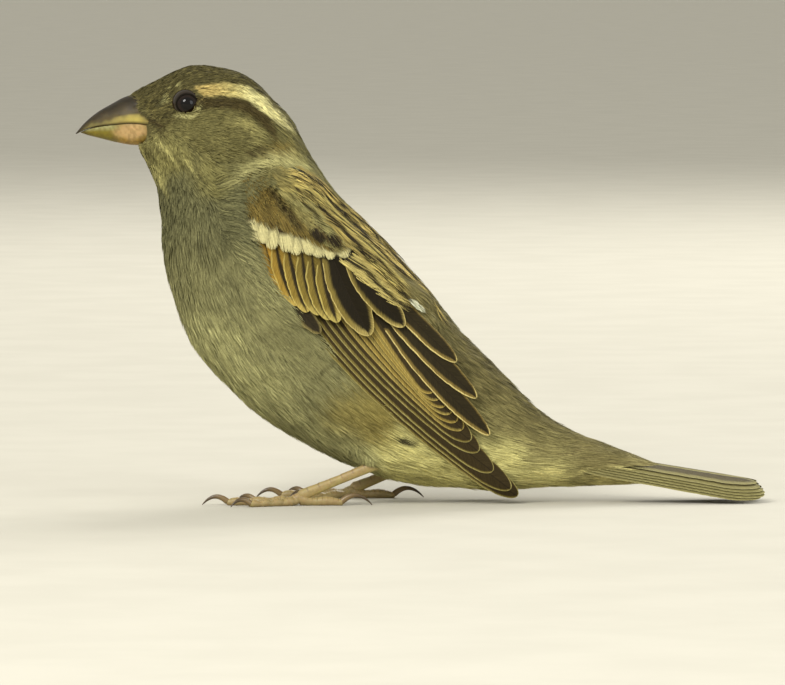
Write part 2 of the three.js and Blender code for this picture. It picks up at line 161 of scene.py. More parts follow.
def add_piece(name, points, faces, material, uv=None, attributes=None, nodes=(), slot=None):
    """A mesh that rides on the body. faces is a list of arrays of vertex numbers, each of one face size."""
    mesh = bpy.data.meshes.new(name)
    points = np.asarray(points).reshape(-1, 3)
    loops = np.concatenate([f.ravel() for f in faces]).astype(np.int32)
    sizes = np.concatenate([np.full(len(f), f.shape[1]) for f in faces])
    starts = np.concatenate([[0], np.cumsum(sizes)[:-1]]).astype(np.int32)
    mesh.vertices.add(len(points))
    mesh.vertices.foreach_set("co", to_row(points).astype(np.float32).ravel())
    mesh.loops.add(len(loops))
    mesh.loops.foreach_set("vertex_index", loops)
    mesh.polygons.add(len(starts))
    mesh.polygons.foreach_set("loop_start", starts)
    mesh.polygons.foreach_set("use_smooth", np.ones(len(starts), bool))
    values = uv[loops] if len(uv) == len(points) else uv
    mesh.uv_layers.new(name="OFBake").data.foreach_set("uv", np.asarray(values, np.float32).ravel())
    for key, values in attributes.items():
        values = np.asarray(values, np.float32)
        if values.ndim == 1:
            mesh.attributes.new(key, "FLOAT", "POINT").data.foreach_set("value", values)
        else:
            rgba = np.ones((len(values), 4), np.float32)
            rgba[:, :3] = values if key == "Vane" else values * TONE
            mesh.attributes.new(key, "FLOAT_COLOR", "POINT").data.foreach_set("color", rgba.ravel())
    mesh.update()
    mesh.materials.append(material)
    made = bpy.data.objects.new(name, mesh)
    bpy.context.scene.collection.objects.link(made)
    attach(made, "root")
    if nodes:
        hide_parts(*nodes)


def grid_faces(rows, columns, closed=False, first=0):
    """Quads of a grid of points, row by row. A closed grid joins its last column to its first."""
    r = np.arange(rows - 1)[:, None] * columns
    c = np.arange(columns if closed else columns - 1)[None, :]
    nxt = (c + 1) % columns
    return first + np.stack([r + c, r + columns + c, r + columns + nxt, r + nxt], -1).reshape(-1, 4)


def fan_caps(rows, columns, first=0):
    """Triangles over both ends of a closed grid, round two middle points that follow it."""
    ring, count = np.arange(columns), rows * columns
    nxt, last = (ring + 1) % columns, count - columns
    head = np.stack([np.full(columns, count), ring, nxt], -1)
    foot = np.stack([np.full(columns, count + 1), last + nxt, last + ring], -1)
    return first + np.concatenate([head, foot])


def uv_grid(rows, columns, along=(0.02, 0.98), around=(0.02, 0.98)):
    u, v = np.meshgrid(np.linspace(*along, rows), np.linspace(*around, columns), indexing="ij")
    return np.stack([u, v], -1).reshape(-1, 2)


def loft(grid, colour, ends=None, first=0, **uv_spans):
    """Points, quads, caps, uv and colours of a grid closed all round, with a middle point at each end."""
    rows, columns = grid.shape[:2]
    points = np.concatenate([grid.reshape(-1, 3), ends or [grid[0].mean(0), grid[-1].mean(0)]])
    uv = np.concatenate([uv_grid(rows, columns, **uv_spans), [(0.01, 0.5), (0.99, 0.5)]])
    colours = np.concatenate([colour.reshape(-1, 3), colour[0, :1], colour[-1, :1]])
    return points, grid_faces(rows, columns, True, first), fan_caps(rows, columns, first), uv, colours


# ---------------------------------------------------------------- body form
# Back point, belly point, half width and how far the widest place hangs: the same stations as the solids'.
STATIONS = np.array([
    (-37.7, 75.1, -35.5, 66.0, 3.0, 0.0), (-33.3, 78.3, -34.2, 63.4, 4.9, 0.05),
    (-26.9, 80.6, -33.1, 61.0, 7.5, 0.1), (-18.1, 80.0, -32.1, 58.6, 9.2, 0.12),
    (-11.8, 76.8, -31.6, 55.9, 9.9, 0.08), (-6.4, 69.6, -31.2, 52.2, 10.3, 0.04),
    (-2.4, 62.5, -31.1, 47.7, 11.6, 0.02), (2.4, 55.9, -30.2, 42.0, 13.8, 0.0),
    (8.9, 48.7, -27.8, 34.4, 15.6, 0.0), (15.0, 42.4, -23.5, 26.6, 16.4, 0.0),
    (20.5, 36.1, -16.7, 19.1, 16.4, 0.0), (25.7, 30.1, -7.8, 12.8, 15.6, 0.03),
    (30.9, 24.6, 1.8, 7.8, 13.8, 0.05), (35.0, 20.2, 12.5, 4.0, 11.4, 0.08),
    (38.8, 16.6, 22.6, 2.7, 9.2, 0.08), (43.0, 13.8, 32.0, 2.3, 7.6, 0.05),
    (47.6, 11.9, 40.5, 2.6, 6.4, 0.0), (52.0, 10.4, 49.5, 3.1, 5.2, 0.0),
])
LAST = len(STATIONS) - 1


def through(points, t):
    """Centripetal Catmull-Rom curve through points, t counting from 0 at the first."""
    pts = np.vstack([2 * points[0] - points[1], points, 2 * points[-1] - points[-2]])
    i = np.clip(np.floor(t).astype(int), 0, len(points) - 2)
    w = (t - i)[:, None]
    p0, p1, p2, p3 = (pts[i + k] for k in range(4))
    d0, d1, d2 = (np.sqrt(np.linalg.norm(b - a, axis=1))[:, None] for a, b in ((p0, p1), (p1, p2), (p2, p3)))
    d1 = np.where(d1 < 1e-4, 1, d1)
    d0, d2 = np.where(d0 < 1e-4, d1, d0), np.where(d2 < 1e-4, d1, d2)
    t1 = ((p1 - p0) / d0 - (p2 - p0) / (d0 + d1) + (p2 - p1) / d1) * d1
    t2 = ((p2 - p1) / d1 - (p3 - p1) / (d1 + d2) + (p3 - p2) / d2) * d1
    return p1 + t1 * w + (-3 * p1 + 3 * p2 - 2 * t1 - t2) * w**2 + (2 * p1 - 2 * p2 + t1 + t2) * w**3


def rings(s, th, grow=0.0, boxy=False):
    """Points of the body form for stations s by angles th: 0 on the back, positive on the bird's right.
    boxy carries the widest place down as a wall, where the folded wing lies."""
    back, belly, girth = (through(STATIONS[:, k : k + 2], s) for k in (0, 2, 4))
    up = back - belly
    depth = np.linalg.norm(up, axis=1)
    up = up / depth[:, None]
    depth = depth / 2 + grow
    middle = (back + belly) / 2
    high, across = np.cos(th)[None], np.sin(th)[None]
    hangs = (high < 0) & boxy
    rise = depth[:, None] * high * np.where(hangs, 1.18, 1.0)
    width = (girth[:, :1] + grow) * (1 - girth[:, 1:] * high)
    y = width * np.sign(across) * np.abs(across) ** np.where(hangs, 0.2, 0.95)
    x = middle[:, :1] + up[:, :1] * rise
    z = middle[:, 1:] + up[:, 1:] * rise
    return np.stack([x, y, z], -1)


class Form:
    """A body surface as a fine table over station and angle, with its normals and scales."""

    def __init__(self, points, s, th):
        self.s0, self.s1, self.th0 = s[0], s[-1], th[0]
        self.rows, self.columns = points.shape[:2]
        self.ds = (s[-1] - s[0]) / (len(s) - 1)
        self.dt = (th[-1] - th[0]) / (len(th) - 1)
        along = np.gradient(points, self.ds, axis=0)
        wrapped = np.concatenate([points[:, -3:-1], points, points[:, 1:3]], axis=1)
        around = np.gradient(wrapped, self.dt, axis=1)[:, 2:-2]
        scale_s = np.linalg.norm(along, axis=2, keepdims=True)
        scale_t = np.linalg.norm(around, axis=2, keepdims=True)
        es, et = along / scale_s, around / np.maximum(scale_t, 1e-6)
        normal = np.cross(es, et)
        normal /= np.linalg.norm(normal, axis=2, keepdims=True)
        outward = np.sum(normal * (points - points[:, :-1].mean(1, keepdims=True)), axis=(1, 2))
        normal *= np.sign(outward)[:, None, None]
        et = np.cross(normal, es) * np.sign(np.sum(np.cross(normal, es) * et, axis=2, keepdims=True))
        self.table = np.concatenate([points, normal, es, et, scale_s, scale_t], axis=2)

    def at(self, s, th):
        """Point, normal, unit vectors to the tail and round to the right, mm per station and per radian."""
        s = np.asarray(s, float)
        held = np.clip(s, self.s0, self.s1)
        r = (held - self.s0) / self.ds
        c = ((th - self.th0) / self.dt) % (self.columns - 1)
        i = np.minimum(r.astype(int), self.rows - 2)
        j = np.minimum(c.astype(int), self.columns - 2)
        u, v = (r - i)[..., None], (c - j)[..., None]
        near = self.table[i, j] * (1 - v) + self.table[i, j + 1] * v
        far = self.table[i + 1, j] * (1 - v) + self.table[i + 1, j + 1] * v
        row = near * (1 - u) + far * u
        point = row[..., 0:3] + row[..., 6:9] * row[..., 12:13] * (s - held)[..., None]
        return point, row[..., 3:6], row[..., 6:9], row[..., 9:12], row[..., 12], row[..., 13]


# Where the plumage swells or sinks, in the side view: across, down, radius in mm, height in mm, and 1 if the
# ridge of the back goes with the sides.
SWELLS = [
    (222, 134, 6.5, 0.5, 0), (190, 85, 2.6, 0.35, 0), (168, 108, 3.0, -0.35, 0), (188, 103, 3.0, 0.28, 0),
    (166, 150, 4.0, 0.3, 0), (262, 154, 2.4, -0.6, 0), (285, 168, 3.5, 0.4, 0), (222, 210, 8.0, 0.7, 0),
    (205, 300, 14.0, 0.4, 0), (330, 430, 10.0, 0.5, 0), (150, 80, 4.2, -0.75, 1), (272, 92, 4.5, -0.6, 1),
    (172, 70, 3.5, -0.3, 1),
]
THIGHS = [(9.3, -9.6, 9.0), (19.0, 9.4, 8.6)]
THIGH_REACH, THIGH_SWELL = np.array([5.0, 3.5, 4.0]), 1.5


def sculpted(points, normal):
    """Points of the plain form moved along its normals by the swells, the thighs and the plumage's waves."""
    a, d = view_of(points)
    height = np.zeros(a.shape)
    flat = smooth(0.1, 0.6, np.abs(normal[..., 1]))
    for across, down, radius, rise, ridge in SWELLS:
        near = np.exp(-(((a - across) ** 2 + (d - down) ** 2) * VIEW**2) / radius**2)
        height += rise * near * (1 if ridge else flat)
    for thigh in THIGHS:
        height += THIGH_SWELL * np.exp(-np.sum(((points - np.array(thigh)) / THIGH_REACH) ** 2, axis=-1))
    body = smooth(-30, -12, points[..., 0] + (60 - points[..., 2]) * 0.6)
    height += (noise(points, 6.0, 3) - 0.5) * 0.7 * body + (noise(points, 2.6, 5) - 0.5) * 0.22
    return points + normal * height[..., None]


S_ALL, TH_ALL = np.linspace(0, LAST, 511), np.linspace(-math.pi, math.pi, 361)
WING_GAP = 0.3  # how far off the body form the folded wing lies
plain = Form(rings(S_ALL, TH_ALL), S_ALL, TH_ALL)
FORM = Form(sculpted(plain.table[..., :3], plain.table[..., 3:6]), S_ALL, TH_ALL)
WING_FORM = Form(rings(S_ALL, TH_ALL, grow=WING_GAP, boxy=True), S_ALL, TH_ALL)


def find_place(a, d, form):
    """Station and angle on the bird's right whose place in the side view is nearest to each (a, d)."""
    half = form.columns // 2
    across, down = view_of(form.table[:, half:])
    found = [np.argmin((across - p) ** 2 + (down - q) ** 2) for p, q in zip(a, d)]
    i, j = np.divmod(np.array(found), across.shape[1])
    return form.s0 + i * form.ds, form.th0 + (j + half) * form.dt


def find_heading(s, th, way, form):
    """The heading over the form that runs in the direction way = (across, down) in the side view."""
    _, _, es, et, _, _ = form.at(s, th)
    way = np.stack([way[:, 0], 0 * way[:, 0], -way[:, 1]], -1)
    return np.arctan2(np.sum(way * et, -1), np.sum(way * es, -1))


def nine_cells(table):
    """The cells round each cell of a table and itself, as nine shifted tables."""
    padded = np.pad(table, 1, mode="edge")
    width, height = table.shape
    return [padded[a : a + width, b : b + height] for a in range(3) for b in range(3)]


class Plate:
    """The folded wing's side surface: how far from the middle plane it lies at a place in the side view."""

    STEP, X0, Z0, WIDTH, HEIGHT = 0.25, -24.0, -3.0, 80, 76
    STEEPEST = 1.6

    def __init__(self):
        s, th = np.linspace(4.6, LAST, 900), np.linspace(0.02, math.pi - 0.02, 700)
        points = rings(s, th, grow=WING_GAP, boxy=True).reshape(-1, 3)
        width, height = int(self.WIDTH / self.STEP), int(self.HEIGHT / self.STEP)
        i = ((points[:, 0] - self.X0) / self.STEP).astype(int)
        j = ((points[:, 2] - self.Z0) / self.STEP).astype(int)
        ok = (i >= 0) & (i < width) & (j >= 0) & (j < height)
        y = np.zeros((width, height))
        np.maximum.at(y, (i[ok], j[ok]), points[ok, 1])
        for _ in range(40):  # outside the form the surface runs on level
            around = nine_cells(y)
            count = sum((p > 0).astype(float) for p in around)
            y = np.where((y <= 0) & (count > 0), sum(around) / np.maximum(count, 1), y)
        for _ in range(14):
            y = sum(nine_cells(y)) / 9
        self.y = y
        self.dx, self.dz = np.gradient(y, self.STEP)

    def at(self, x, z):
        """Points on the right wing's surface and their outward normals."""
        cell = (x - self.X0) / self.STEP - 0.5, (z - self.Z0) / self.STEP - 0.5
        lean = [-np.clip(bilinear(t, *cell), -self.STEEPEST, self.STEEPEST) for t in (self.dx, self.dz)]
        slope = np.stack([lean[0], np.ones(x.shape), lean[1]], -1)
        normal = slope / np.linalg.norm(slope, axis=-1, keepdims=True)
        return np.stack([x, bilinear(self.y, *cell), z], -1), normal


PLATE = Plate()

# ---------------------------------------------------------------- outlines in the side view
# Body feathers lie over the wing along its front and its upper edge, and under it along its lower edge.
OVERLAY = [
    (312, 337), (301, 327), (286, 313), (270, 294), (260, 268), (252, 244), (247, 224), (241, 203),
    (243, 190), (251, 180), (268, 175), (288, 184), (303, 202), (318, 226), (334, 243), (352, 256),
    (391, 289), (416, 304),
]
LOWER_EDGE = [(312, 337), (330, 353), (388, 403), (430, 431), (456, 449), (489, 482), (519, 496)]
WING_OUTLINE = OVERLAY + [(440, 335), (458, 360), (478, 398), (490, 436)] + LOWER_EDGE[:0:-1]
LIFT_STEP, LIFT_FROM = 2.0, (100, 40)
# Where the feathers begin behind the bill: down, across.
BILL_EDGE = np.array([(90, 120), (96, 126), (107, 140), (117, 151), (126, 155), (139, 149), (145, 138),
                      (152, 134)])


def wing_lift(a, d):
    """How high body feathers ride to pass over the wing's front and upper edges."""
    miss, along = polyline_distance(a, d, OVERLAY)
    height = np.interp(along, [0, 1, 3], [0.9, 1.5, 2.7])  # low where the flank slips under the wing's edge
    under, _ = polyline_distance(a, d, LOWER_EDGE)
    within = inside(a, d, WING_OUTLINE)
    return height * np.maximum(smooth(30, 2, miss), within * smooth(44, 26, miss) * smooth(2, 16, under))


LIFT_GRID = np.arange(LIFT_FROM[0], 620, LIFT_STEP), np.arange(LIFT_FROM[1], 540, LIFT_STEP)
LIFT = wing_lift(*np.meshgrid(*LIFT_GRID, indexing="ij"))


def lifted(points, normal):
    """The wing's lift at points on the sides of the body."""
    a, d = view_of(points)
    high = bilinear(LIFT, (a - LIFT_FROM[0]) / LIFT_STEP, (d - LIFT_FROM[1]) / LIFT_STEP)
    return high * smooth(0.15, 0.6, np.abs(normal[..., 1]))


def past_bill(a, d):
    """How far behind the bill's edge a place of the side view lies."""
    return a - np.interp(d, BILL_EDGE[:, 0], BILL_EDGE[:, 1])


# ---------------------------------------------------------------- markings
# The plain colours of a hen's coat, with one painted shade on the low belly, and the places where each is at home:
# across, down, reach.
GROUND = {
    "crown brown": ((90, 84, 52), [(205, 72, 14), (262, 92, 12), (146, 90, 9), (162, 108, 8)]),
    "cheek grey": ((107, 102, 65), [(215, 128, 16), (232, 146, 10), (302, 150, 9), (282, 156, 6),
                                    (156, 150, 7)]),
    "throat buff": ((127, 122, 78), [(172, 166, 10), (215, 182, 10), (335, 205, 12)]),
    "breast grey": ((101, 100, 72), [(175, 215, 22), (225, 225, 20)]),
    "flank grey": ((128, 126, 91), [(203, 285, 28), (245, 290, 22), (285, 345, 22), (330, 395, 18)]),
    "belly buff": ((171, 169, 124), [(210, 362, 32), (252, 392, 28), (372, 464, 11)]),
    # painted shade: the low belly is given a darker colour because, as the underside, it lies in shade
    "low belly painted shade": ((152, 150, 109), [(315, 445, 24)]),
    "thigh ochre": ((146, 134, 78), [(355, 412, 12), (385, 425, 12)]),
    "vent cream": ((214, 208, 146), [(405, 452, 8), (435, 466, 20), (516, 455, 12), (510, 490, 18),
                                     (560, 480, 16)]),
    "rump brown": ((124, 116, 78), [(425, 290, 14), (485, 372, 20), (540, 440, 18), (600, 452, 20)]),
}
# Lines along the markings and two painted shadows: across, down, half width.
BROW = [(203, 88, 3), (209, 90.5, 6), (218, 89.5, 6), (232, 89.5, 6.3), (244, 91, 6.3), (256, 96.5, 6),
        (268, 105, 6.6), (280, 115.5, 6.8), (290, 124, 6.2), (300, 132, 4), (305, 138, 2)]
EYE_LINE = [(198, 101, 4), (212, 103, 5), (230, 102, 4.5), (247, 106, 5.5), (260, 113, 6), (271, 123, 5.5),
            (278, 134, 3.5), (281, 141, 1)]
EAR_SPOT = [(252, 153, 1.5), (259, 154, 2.8), (264, 152, 3.2), (269, 147, 1)]
WARM = [(270, 156, 2), (281, 150, 5), (292, 153, 6), (300, 160, 3)]
COLLAR = [(238, 181, 1), (248, 172, 4), (262, 165, 6), (280, 160, 6), (297, 162, 6), (312, 172, 5),
          (320, 184, 4)]
UNDER_EYE = [(180, 114, 0.8), (188, 117.5, 1.4), (196, 116, 1.7), (202, 110.5, 1.7), (203, 107, 0.8)]
FORE_EYE = [(166, 103, 2.5), (169, 97, 3.5), (174, 89, 3.5), (181, 83, 2.5)]
EAR_EDGE = [(238, 122, 2), (249, 123, 4.5), (258, 129, 5.5), (265, 138, 6), (262, 147, 3.5)]
MALAR = [(150, 138, 2.5), (161, 148, 4), (175, 158, 4.5), (190, 170, 5), (200, 178, 4)]
THROAT = [(139, 148, 2), (150, 166, 3), (160, 184, 4), (163, 196, 3)]
# painted shadow: a dark line along the gape, running back from the bill's corner into the feathers
GAPE_SHADOW = [(150, 121, 2), (158, 125, 2.5), (168, 126, 1.5)]
LORE = [(140, 104, 9), (165, 108, 12), (172, 96, 9)]
# painted shadow: a dark spot where the flank feathers' edge overhangs the thigh
FLANK_EDGE_SHADOW = [(409, 439, 3), (413, 441, 4), (418, 442, 2.5)]
DARK_BROWN = (64, 54, 28)
# Markings as colour, strength, line and soft edge: under the throat's streaks and the brow, then over them.
FACE_MARKS = [((150, 144, 96), 0.8, EAR_EDGE, 3), ((122, 104, 52), 0.6, WARM, 4),
              (DARK_BROWN, 0.88, EYE_LINE, 3), (DARK_BROWN, 0.75, EAR_SPOT, 2.5)]
OVER_MARKS = [((174, 170, 122), 0.75, COLLAR, 6), ((178, 174, 126), 0.8, UNDER_EYE, 1.2)]
STREAK_TURN = math.radians(56)  # how the throat's streaks run in the side view


def mark(a, d, line, soft=1.5):
    """1 on a marking of varying half width, falling to 0 over its soft edge."""
    line = np.asarray(line, float)
    miss, along = polyline_distance(a, d, line)
    half = np.interp(along, np.arange(len(line)), line[:, 2])
    return smooth(soft, -soft, miss - half)


def blended(colour, over, amount):
    return colour + (over - colour) * amount[..., None]


def painted(colour, a, d, marks):
    for shade, strength, line, soft in marks:
        colour = blended(colour, srgb(*shade), strength * mark(a, d, line, soft))
    return colour


def throat_streaks(colour, points, a, d):
    """Pale and dark streaks on the chin and throat."""
    run, turn = math.sin(STREAK_TURN), math.cos(STREAK_TURN)
    lines = np.stack([(a * run - d * turn) / 4.2, (a * turn + d * run) / 30, points[..., 1] / 6], -1)
    lines, chin = noise(lines, 1.0, 71), np.maximum(mark(a, d, MALAR, 9), mark(a, d, THROAT, 9))
    colour = blended(colour, srgb(192, 186, 128), 0.9 * chin * smooth(0.44, 0.64, lines))
    return blended(colour, srgb(78, 71, 40), 0.75 * chin * smooth(0.46, 0.2, lines))


def brow_colours(points, a):
    """The brow: warm over the eye, buff, then pale at its hind end."""
    warm, pale = smooth(242, 214, a)[..., None], smooth(238, 258, a)[..., None]
    colour = srgb(186, 174, 118) * (1 - warm) * (1 - pale)
    colour = colour + srgb(184, 164, 106) * warm + srgb(210, 204, 153) * pale
    return colour * (0.8 + 0.4 * noise(points, 0.7, 41))[..., None]


def plumage(points, ridge=1.0):
    """The coat's colour at points on the body, in linear light. ridge is 0 along the middle of the back."""
    a, d = view_of(points)
    a, d = a + (noise(points, 1.6, 11) - 0.5) * 2.4, d + (noise(points, 1.3, 12) - 0.5) * 2.4
    wide_a, wide_d = (v + (noise(points, 4.5, seed) - 0.5) * 22 for v, seed in ((a, 13), (d, 14)))
    total, colour = 0, 0
    for shade, homes in GROUND.values():
        for across, down, reach in homes:
            away = ((wide_a - across) ** 2 + (wide_d - down) ** 2) / reach**2
            weight = np.exp(-away / 2.1) + 0.1 / (1 + away / 3) ** 2
            total, colour = total + weight, colour + weight[..., None] * srgb(*shade)
    colour = painted(colour / total[..., None], a, d, FACE_MARKS)
    colour = throat_streaks(colour, points, a, d)
    # painted shadow along the gape line
    colour = painted(colour, a, d, [((58, 48, 26), 0.8, GAPE_SHADOW, 2)])
    colour = blended(colour, brow_colours(points, a), mark(a, d, BROW, 1.6) * ridge**2)
    colour = painted(colour, a, d, OVER_MARKS)
    flecks = smooth(0.42, 0.66, noise(points, 0.7, 21))
    colour = blended(colour, srgb(176, 172, 122), 0.85 * mark(a, d, FORE_EYE, 3) * flecks)
    return colour * (0.92 + 0.16 * noise(points, 2.2, 31))[..., None]


# ---------------------------------------------------------------- tufts
PIECE_LIMIT = 190000  # triangles in a piece of the coat
UV_START, UV_SPAN, UV_PATCH = 0.004, 0.989, 0.003  # where a feather's patch of OFBake starts, and its side
THICKNESS = ([0, 0.3, 0.65, 1], [0.75, 1.0, 0.95, 0.0])  # of a barb, from its root to its tip
CLEAR_OF_FLOOR = 0.3
TRIES = 6.0  # places drawn for each that is kept


class Coat:
    """Feathers made of fine barbs, gathered until they are turned into pieces."""

    def __init__(self, rng):
        self.rng, self.chunks = rng, []

    def grow(self, s, th, *, length, width, root, rise, heading, barbs, shade, base=0.0, steps=4, half=0.085,
             rough=0.06, strands=0.14, form=FORM, over_wing=True, spread=0.3, taper=0.62, ragged=0.07,
             blunt=1.0):
        """One feather at each station s and angle th. base is its height over the form, root how much deeper
        its foot is, rise how much higher its tip. shade(points, across, along, feather, home) colours it."""
        n, rng = len(s), self.rng
        length, width, root, rise, heading, base = (
            np.broadcast_to(v, n).reshape(n, 1) for v in (length, width, root, rise, heading, base))
        c = np.linspace(-1, 1, barbs)[None] + rng.normal(0, 0.45 / barbs, (n, barbs))
        reach = np.sqrt(np.clip(1 - taper * np.clip(np.abs(c), 0, 1.1) ** 2.2, 0.15, 1))
        reach = reach * (1 + rng.normal(0, ragged, (n, barbs)))
        drift = rng.normal(0, 0.05, (n, barbs))
        bump = rng.normal(0, rough, (n, barbs))
        roll = rng.normal(0, 0.35, (n, barbs)) - 0.25 * c
        here_s, here_t = np.repeat(s[:, None], barbs, 1), np.repeat(th[:, None], barbs, 1)
        turn_c, turn_s = np.cos(heading), np.sin(heading)
        was_u, was_v = 0.0, 0.0
        thin = np.interp(np.linspace(0, 1, steps + 1), *THICKNESS)
        rows, tops = [], []
        for j in range(steps + 1):
            t = 1 - (1 - j / steps) ** blunt
            u = t * length * reach
            fan = spread + (1 - spread) * math.sin(math.pi / 2 * min(1, 1.25 * t))
            v = width / 2 * (c * fan + drift * t * 2)
            _, _, _, _, scale_s, scale_t = form.at(here_s, here_t)
            du, dv = u - was_u, v - was_v
            here_s = here_s + (du * turn_c - dv * turn_s) / scale_s
            here_t = here_t + (du * turn_s + dv * turn_c) / np.maximum(scale_t, 0.8)
            was_u, was_v = u, v
            point, normal, es, et, _, _ = form.at(here_s, here_t)
            height = base - root * (1 - t) ** 1.6 + rise * t**2
            height = height + bump * math.sin(math.pi * t) - 0.06 * width * c**2
            if over_wing:
                height = height + lifted(point, normal)
            point = point + normal * height[..., None]
            point[..., 2] = np.maximum(point[..., 2], CLEAR_OF_FLOOR + 0.2 * t)
            if j == steps:
                rows.append(point)
                tops.append(1.0)
                continue
            w = half * thin[j]
            edge = (-turn_s[..., None] * es + turn_c[..., None] * et) * w
            tilt = normal * (roll * w)[..., None]
            rows += [point - edge - tilt, point + edge + tilt]
            tops += [t, t]
        points = np.stack(rows, 2)
        along = np.array(tops)
        feather = rng.random((n, 1, 1))
        strand = np.clip(1 + strands * rng.normal(0, 1, (n, barbs, 1, 1)), 0.45, 1.7)
        c = np.clip(c, -1, 1)[..., None]
        home = np.stack([s, th], -1)[:, None, None]
        colours = np.broadcast_to(shade(points, c, along[None, None], feather, home) * strand, points.shape)
        at = np.stack([s / LAST, (th + math.pi) / (2 * math.pi)], -1) % 1.0
        patch = np.stack([np.broadcast_to(v, points.shape[:3]) for v in (along, (c + 1) / 2)], -1)
        uv = (UV_START + UV_SPAN * at)[:, None, None] + patch * UV_PATCH
        self.chunks.append((points, colours, uv, steps))

    def pieces(self, name, **links):
        """Turns what was gathered into pieces of at most PIECE_LIMIT triangles. The links go to the first."""
        batches, room = [[]], PIECE_LIMIT
        for *arrays, steps in self.chunks:
            feathers, barbs = arrays[0].shape[:2]
            per = barbs * (2 * steps - 1)
            start = 0
            while start < feathers:
                end = min(feathers, start + max(1, room // per))
                batches[-1].append(([v[start:end] for v in arrays], steps))
                start, room = end, room - (end - start) * per
                if room < per:
                    batches.append([])
                    room = PIECE_LIMIT
        for number, batch in enumerate(filter(None, batches), 1):
            barb_piece(f"{name}_{number}", batch, links if number == 1 else {})


def barb_piece(name, batch, links):
    """A piece of barbs, each a ladder of quads with a triangle for its tip."""
    quads, tris, base = [], [], 0
    for (points, _, _), steps in batch:
        size, count = 2 * steps + 1, points.shape[0] * points.shape[1]
        first = base + np.arange(count)[:, None] * size
        ladder = np.array([[2 * k, 2 * k + 1, 2 * k + 3, 2 * k + 2] for k in range(steps - 1)])
        quads.append((first[:, None] + ladder[None]).reshape(-1, 4))
        tris.append((first + np.array([[2 * steps - 2, 2 * steps - 1, 2 * steps]])).reshape(-1, 3))
        base += count * size
    points, colours, uv = (np.concatenate([arrays[k].reshape(-1, wide) for arrays, _ in batch])
                           for k, wide in enumerate((3, 3, 2)))
    faces = [np.concatenate(quads), np.concatenate(tris)]
    add_piece(name, points, faces, COAT, uv=uv, attributes={"Col": colours}, **links)


def scatter(keep, spacing, rng):
    """Stations and angles spread over the form where keep(points, s, th), about spacing(points) apart."""
    table = FORM.table
    area = (table[..., 12] * table[..., 13])[:-1, :-1] * FORM.ds * FORM.dt
    weight = (area / spacing(table[:-1, :-1, :3]) ** 2).ravel()
    count = int(weight.sum() * TRIES)
    cell = rng.choice(len(weight), count, p=weight / weight.sum())
    i, j = np.divmod(cell, area.shape[1])
    s = (i + rng.random(count)) * FORM.ds
    th = TH_ALL[0] + (j + rng.random(count)) * FORM.dt
    points = FORM.at(s, th)[0]
    ok = keep(points, s, th)
    s, th, points = s[ok], th[ok], points[ok]
    reach = spacing(points)
    cells = np.floor(points / reach.max()).astype(int).tolist()
    steps = list(itertools.product((-1, 0, 1), repeat=3))
    kept, grid = [], {}
    for k, (p, r, (x, y, z)) in enumerate(zip(points.tolist(), reach.tolist(), cells)):
        near = (q for dx, dy, dz in steps for q in grid.get((x + dx, y + dy, z + dz), ()))
        if not any((p[0] - q[0]) ** 2 + (p[1] - q[1]) ** 2 + (p[2] - q[2]) ** 2 < r * r for q in near):
            kept.append(k)
            grid.setdefault((x, y, z), []).append(p)
    return s[kept], th[kept]


def unit(ways):
    return ways / np.linalg.norm(ways, axis=1, keepdims=True)


def along_line(line, u):
    line = np.asarray(line, float)
    at = np.asarray(u) * (len(line) - 1)
    i = np.clip(at.astype(int), 0, len(line) - 2)
    return line[i] + (line[i + 1] - line[i]) * (at - i)[:, None]


# How the coat lies on the head in the side view: across, down, reach, and degrees below the line to the tail.
LIE = [
    (145, 86, 12, -28), (172, 74, 14, -20), (205, 70, 14, -2), (240, 78, 14, 22), (264, 94, 12, 42),
    (288, 120, 12, 52), (306, 150, 14, 56), (140, 106, 10, -12), (165, 108, 12, -6), (188, 122, 9, 8),
    (212, 128, 14, 10), (240, 128, 12, 18), (258, 146, 9, 34), (212, 90, 12, 0), (240, 92, 10, 14),
    (264, 106, 9, 38), (286, 152, 12, 40), (150, 138, 9, 44), (172, 158, 12, 48), (196, 172, 12, 42),
    (136, 150, 9, 60), (154, 182, 12, 72), (166, 205, 14, 80), (225, 178, 12, 30), (232, 204, 12, 48),
    (205, 225, 16, 76), (262, 166, 12, 22), (292, 164, 12, 30), (316, 178, 12, 50),
]


def lie_of_head(points, s, th):
    """Headings that follow LIE on the sides of the head and part round the eyes."""
    a, d = view_of(points)
    total = np.zeros((len(s), 2))
    for across, down, reach, degrees in LIE:
        weight = np.exp(-((a - across) ** 2 + (d - down) ** 2) / (1.2 * reach) ** 2) + 1e-12
        angle = math.radians(degrees)
        total += weight[:, None] * np.array([math.cos(angle), math.sin(angle)])
    way = unit(total)
    eye = np.stack([a - EYE_SEEN[0], d - EYE_SEEN[1]], -1) * VIEW
    r2 = np.maximum(np.sum(eye**2, -1), 2.0**2)
    out = eye / np.sqrt(np.sum(eye**2, -1, keepdims=True) + 1e-9)
    inward = np.sum(way * out, -1, keepdims=True)
    near = (4.0 / r2 * smooth(40, 9, r2))[:, None]
    way = way - near * (2 * inward * out - way) * 0.9
    facing = smooth(0.12, 0.5, np.abs(FORM.at(s, th)[1][:, 1])) * smooth(6.2, 5.0, s)
    return find_heading(s, th, way, FORM) * facing


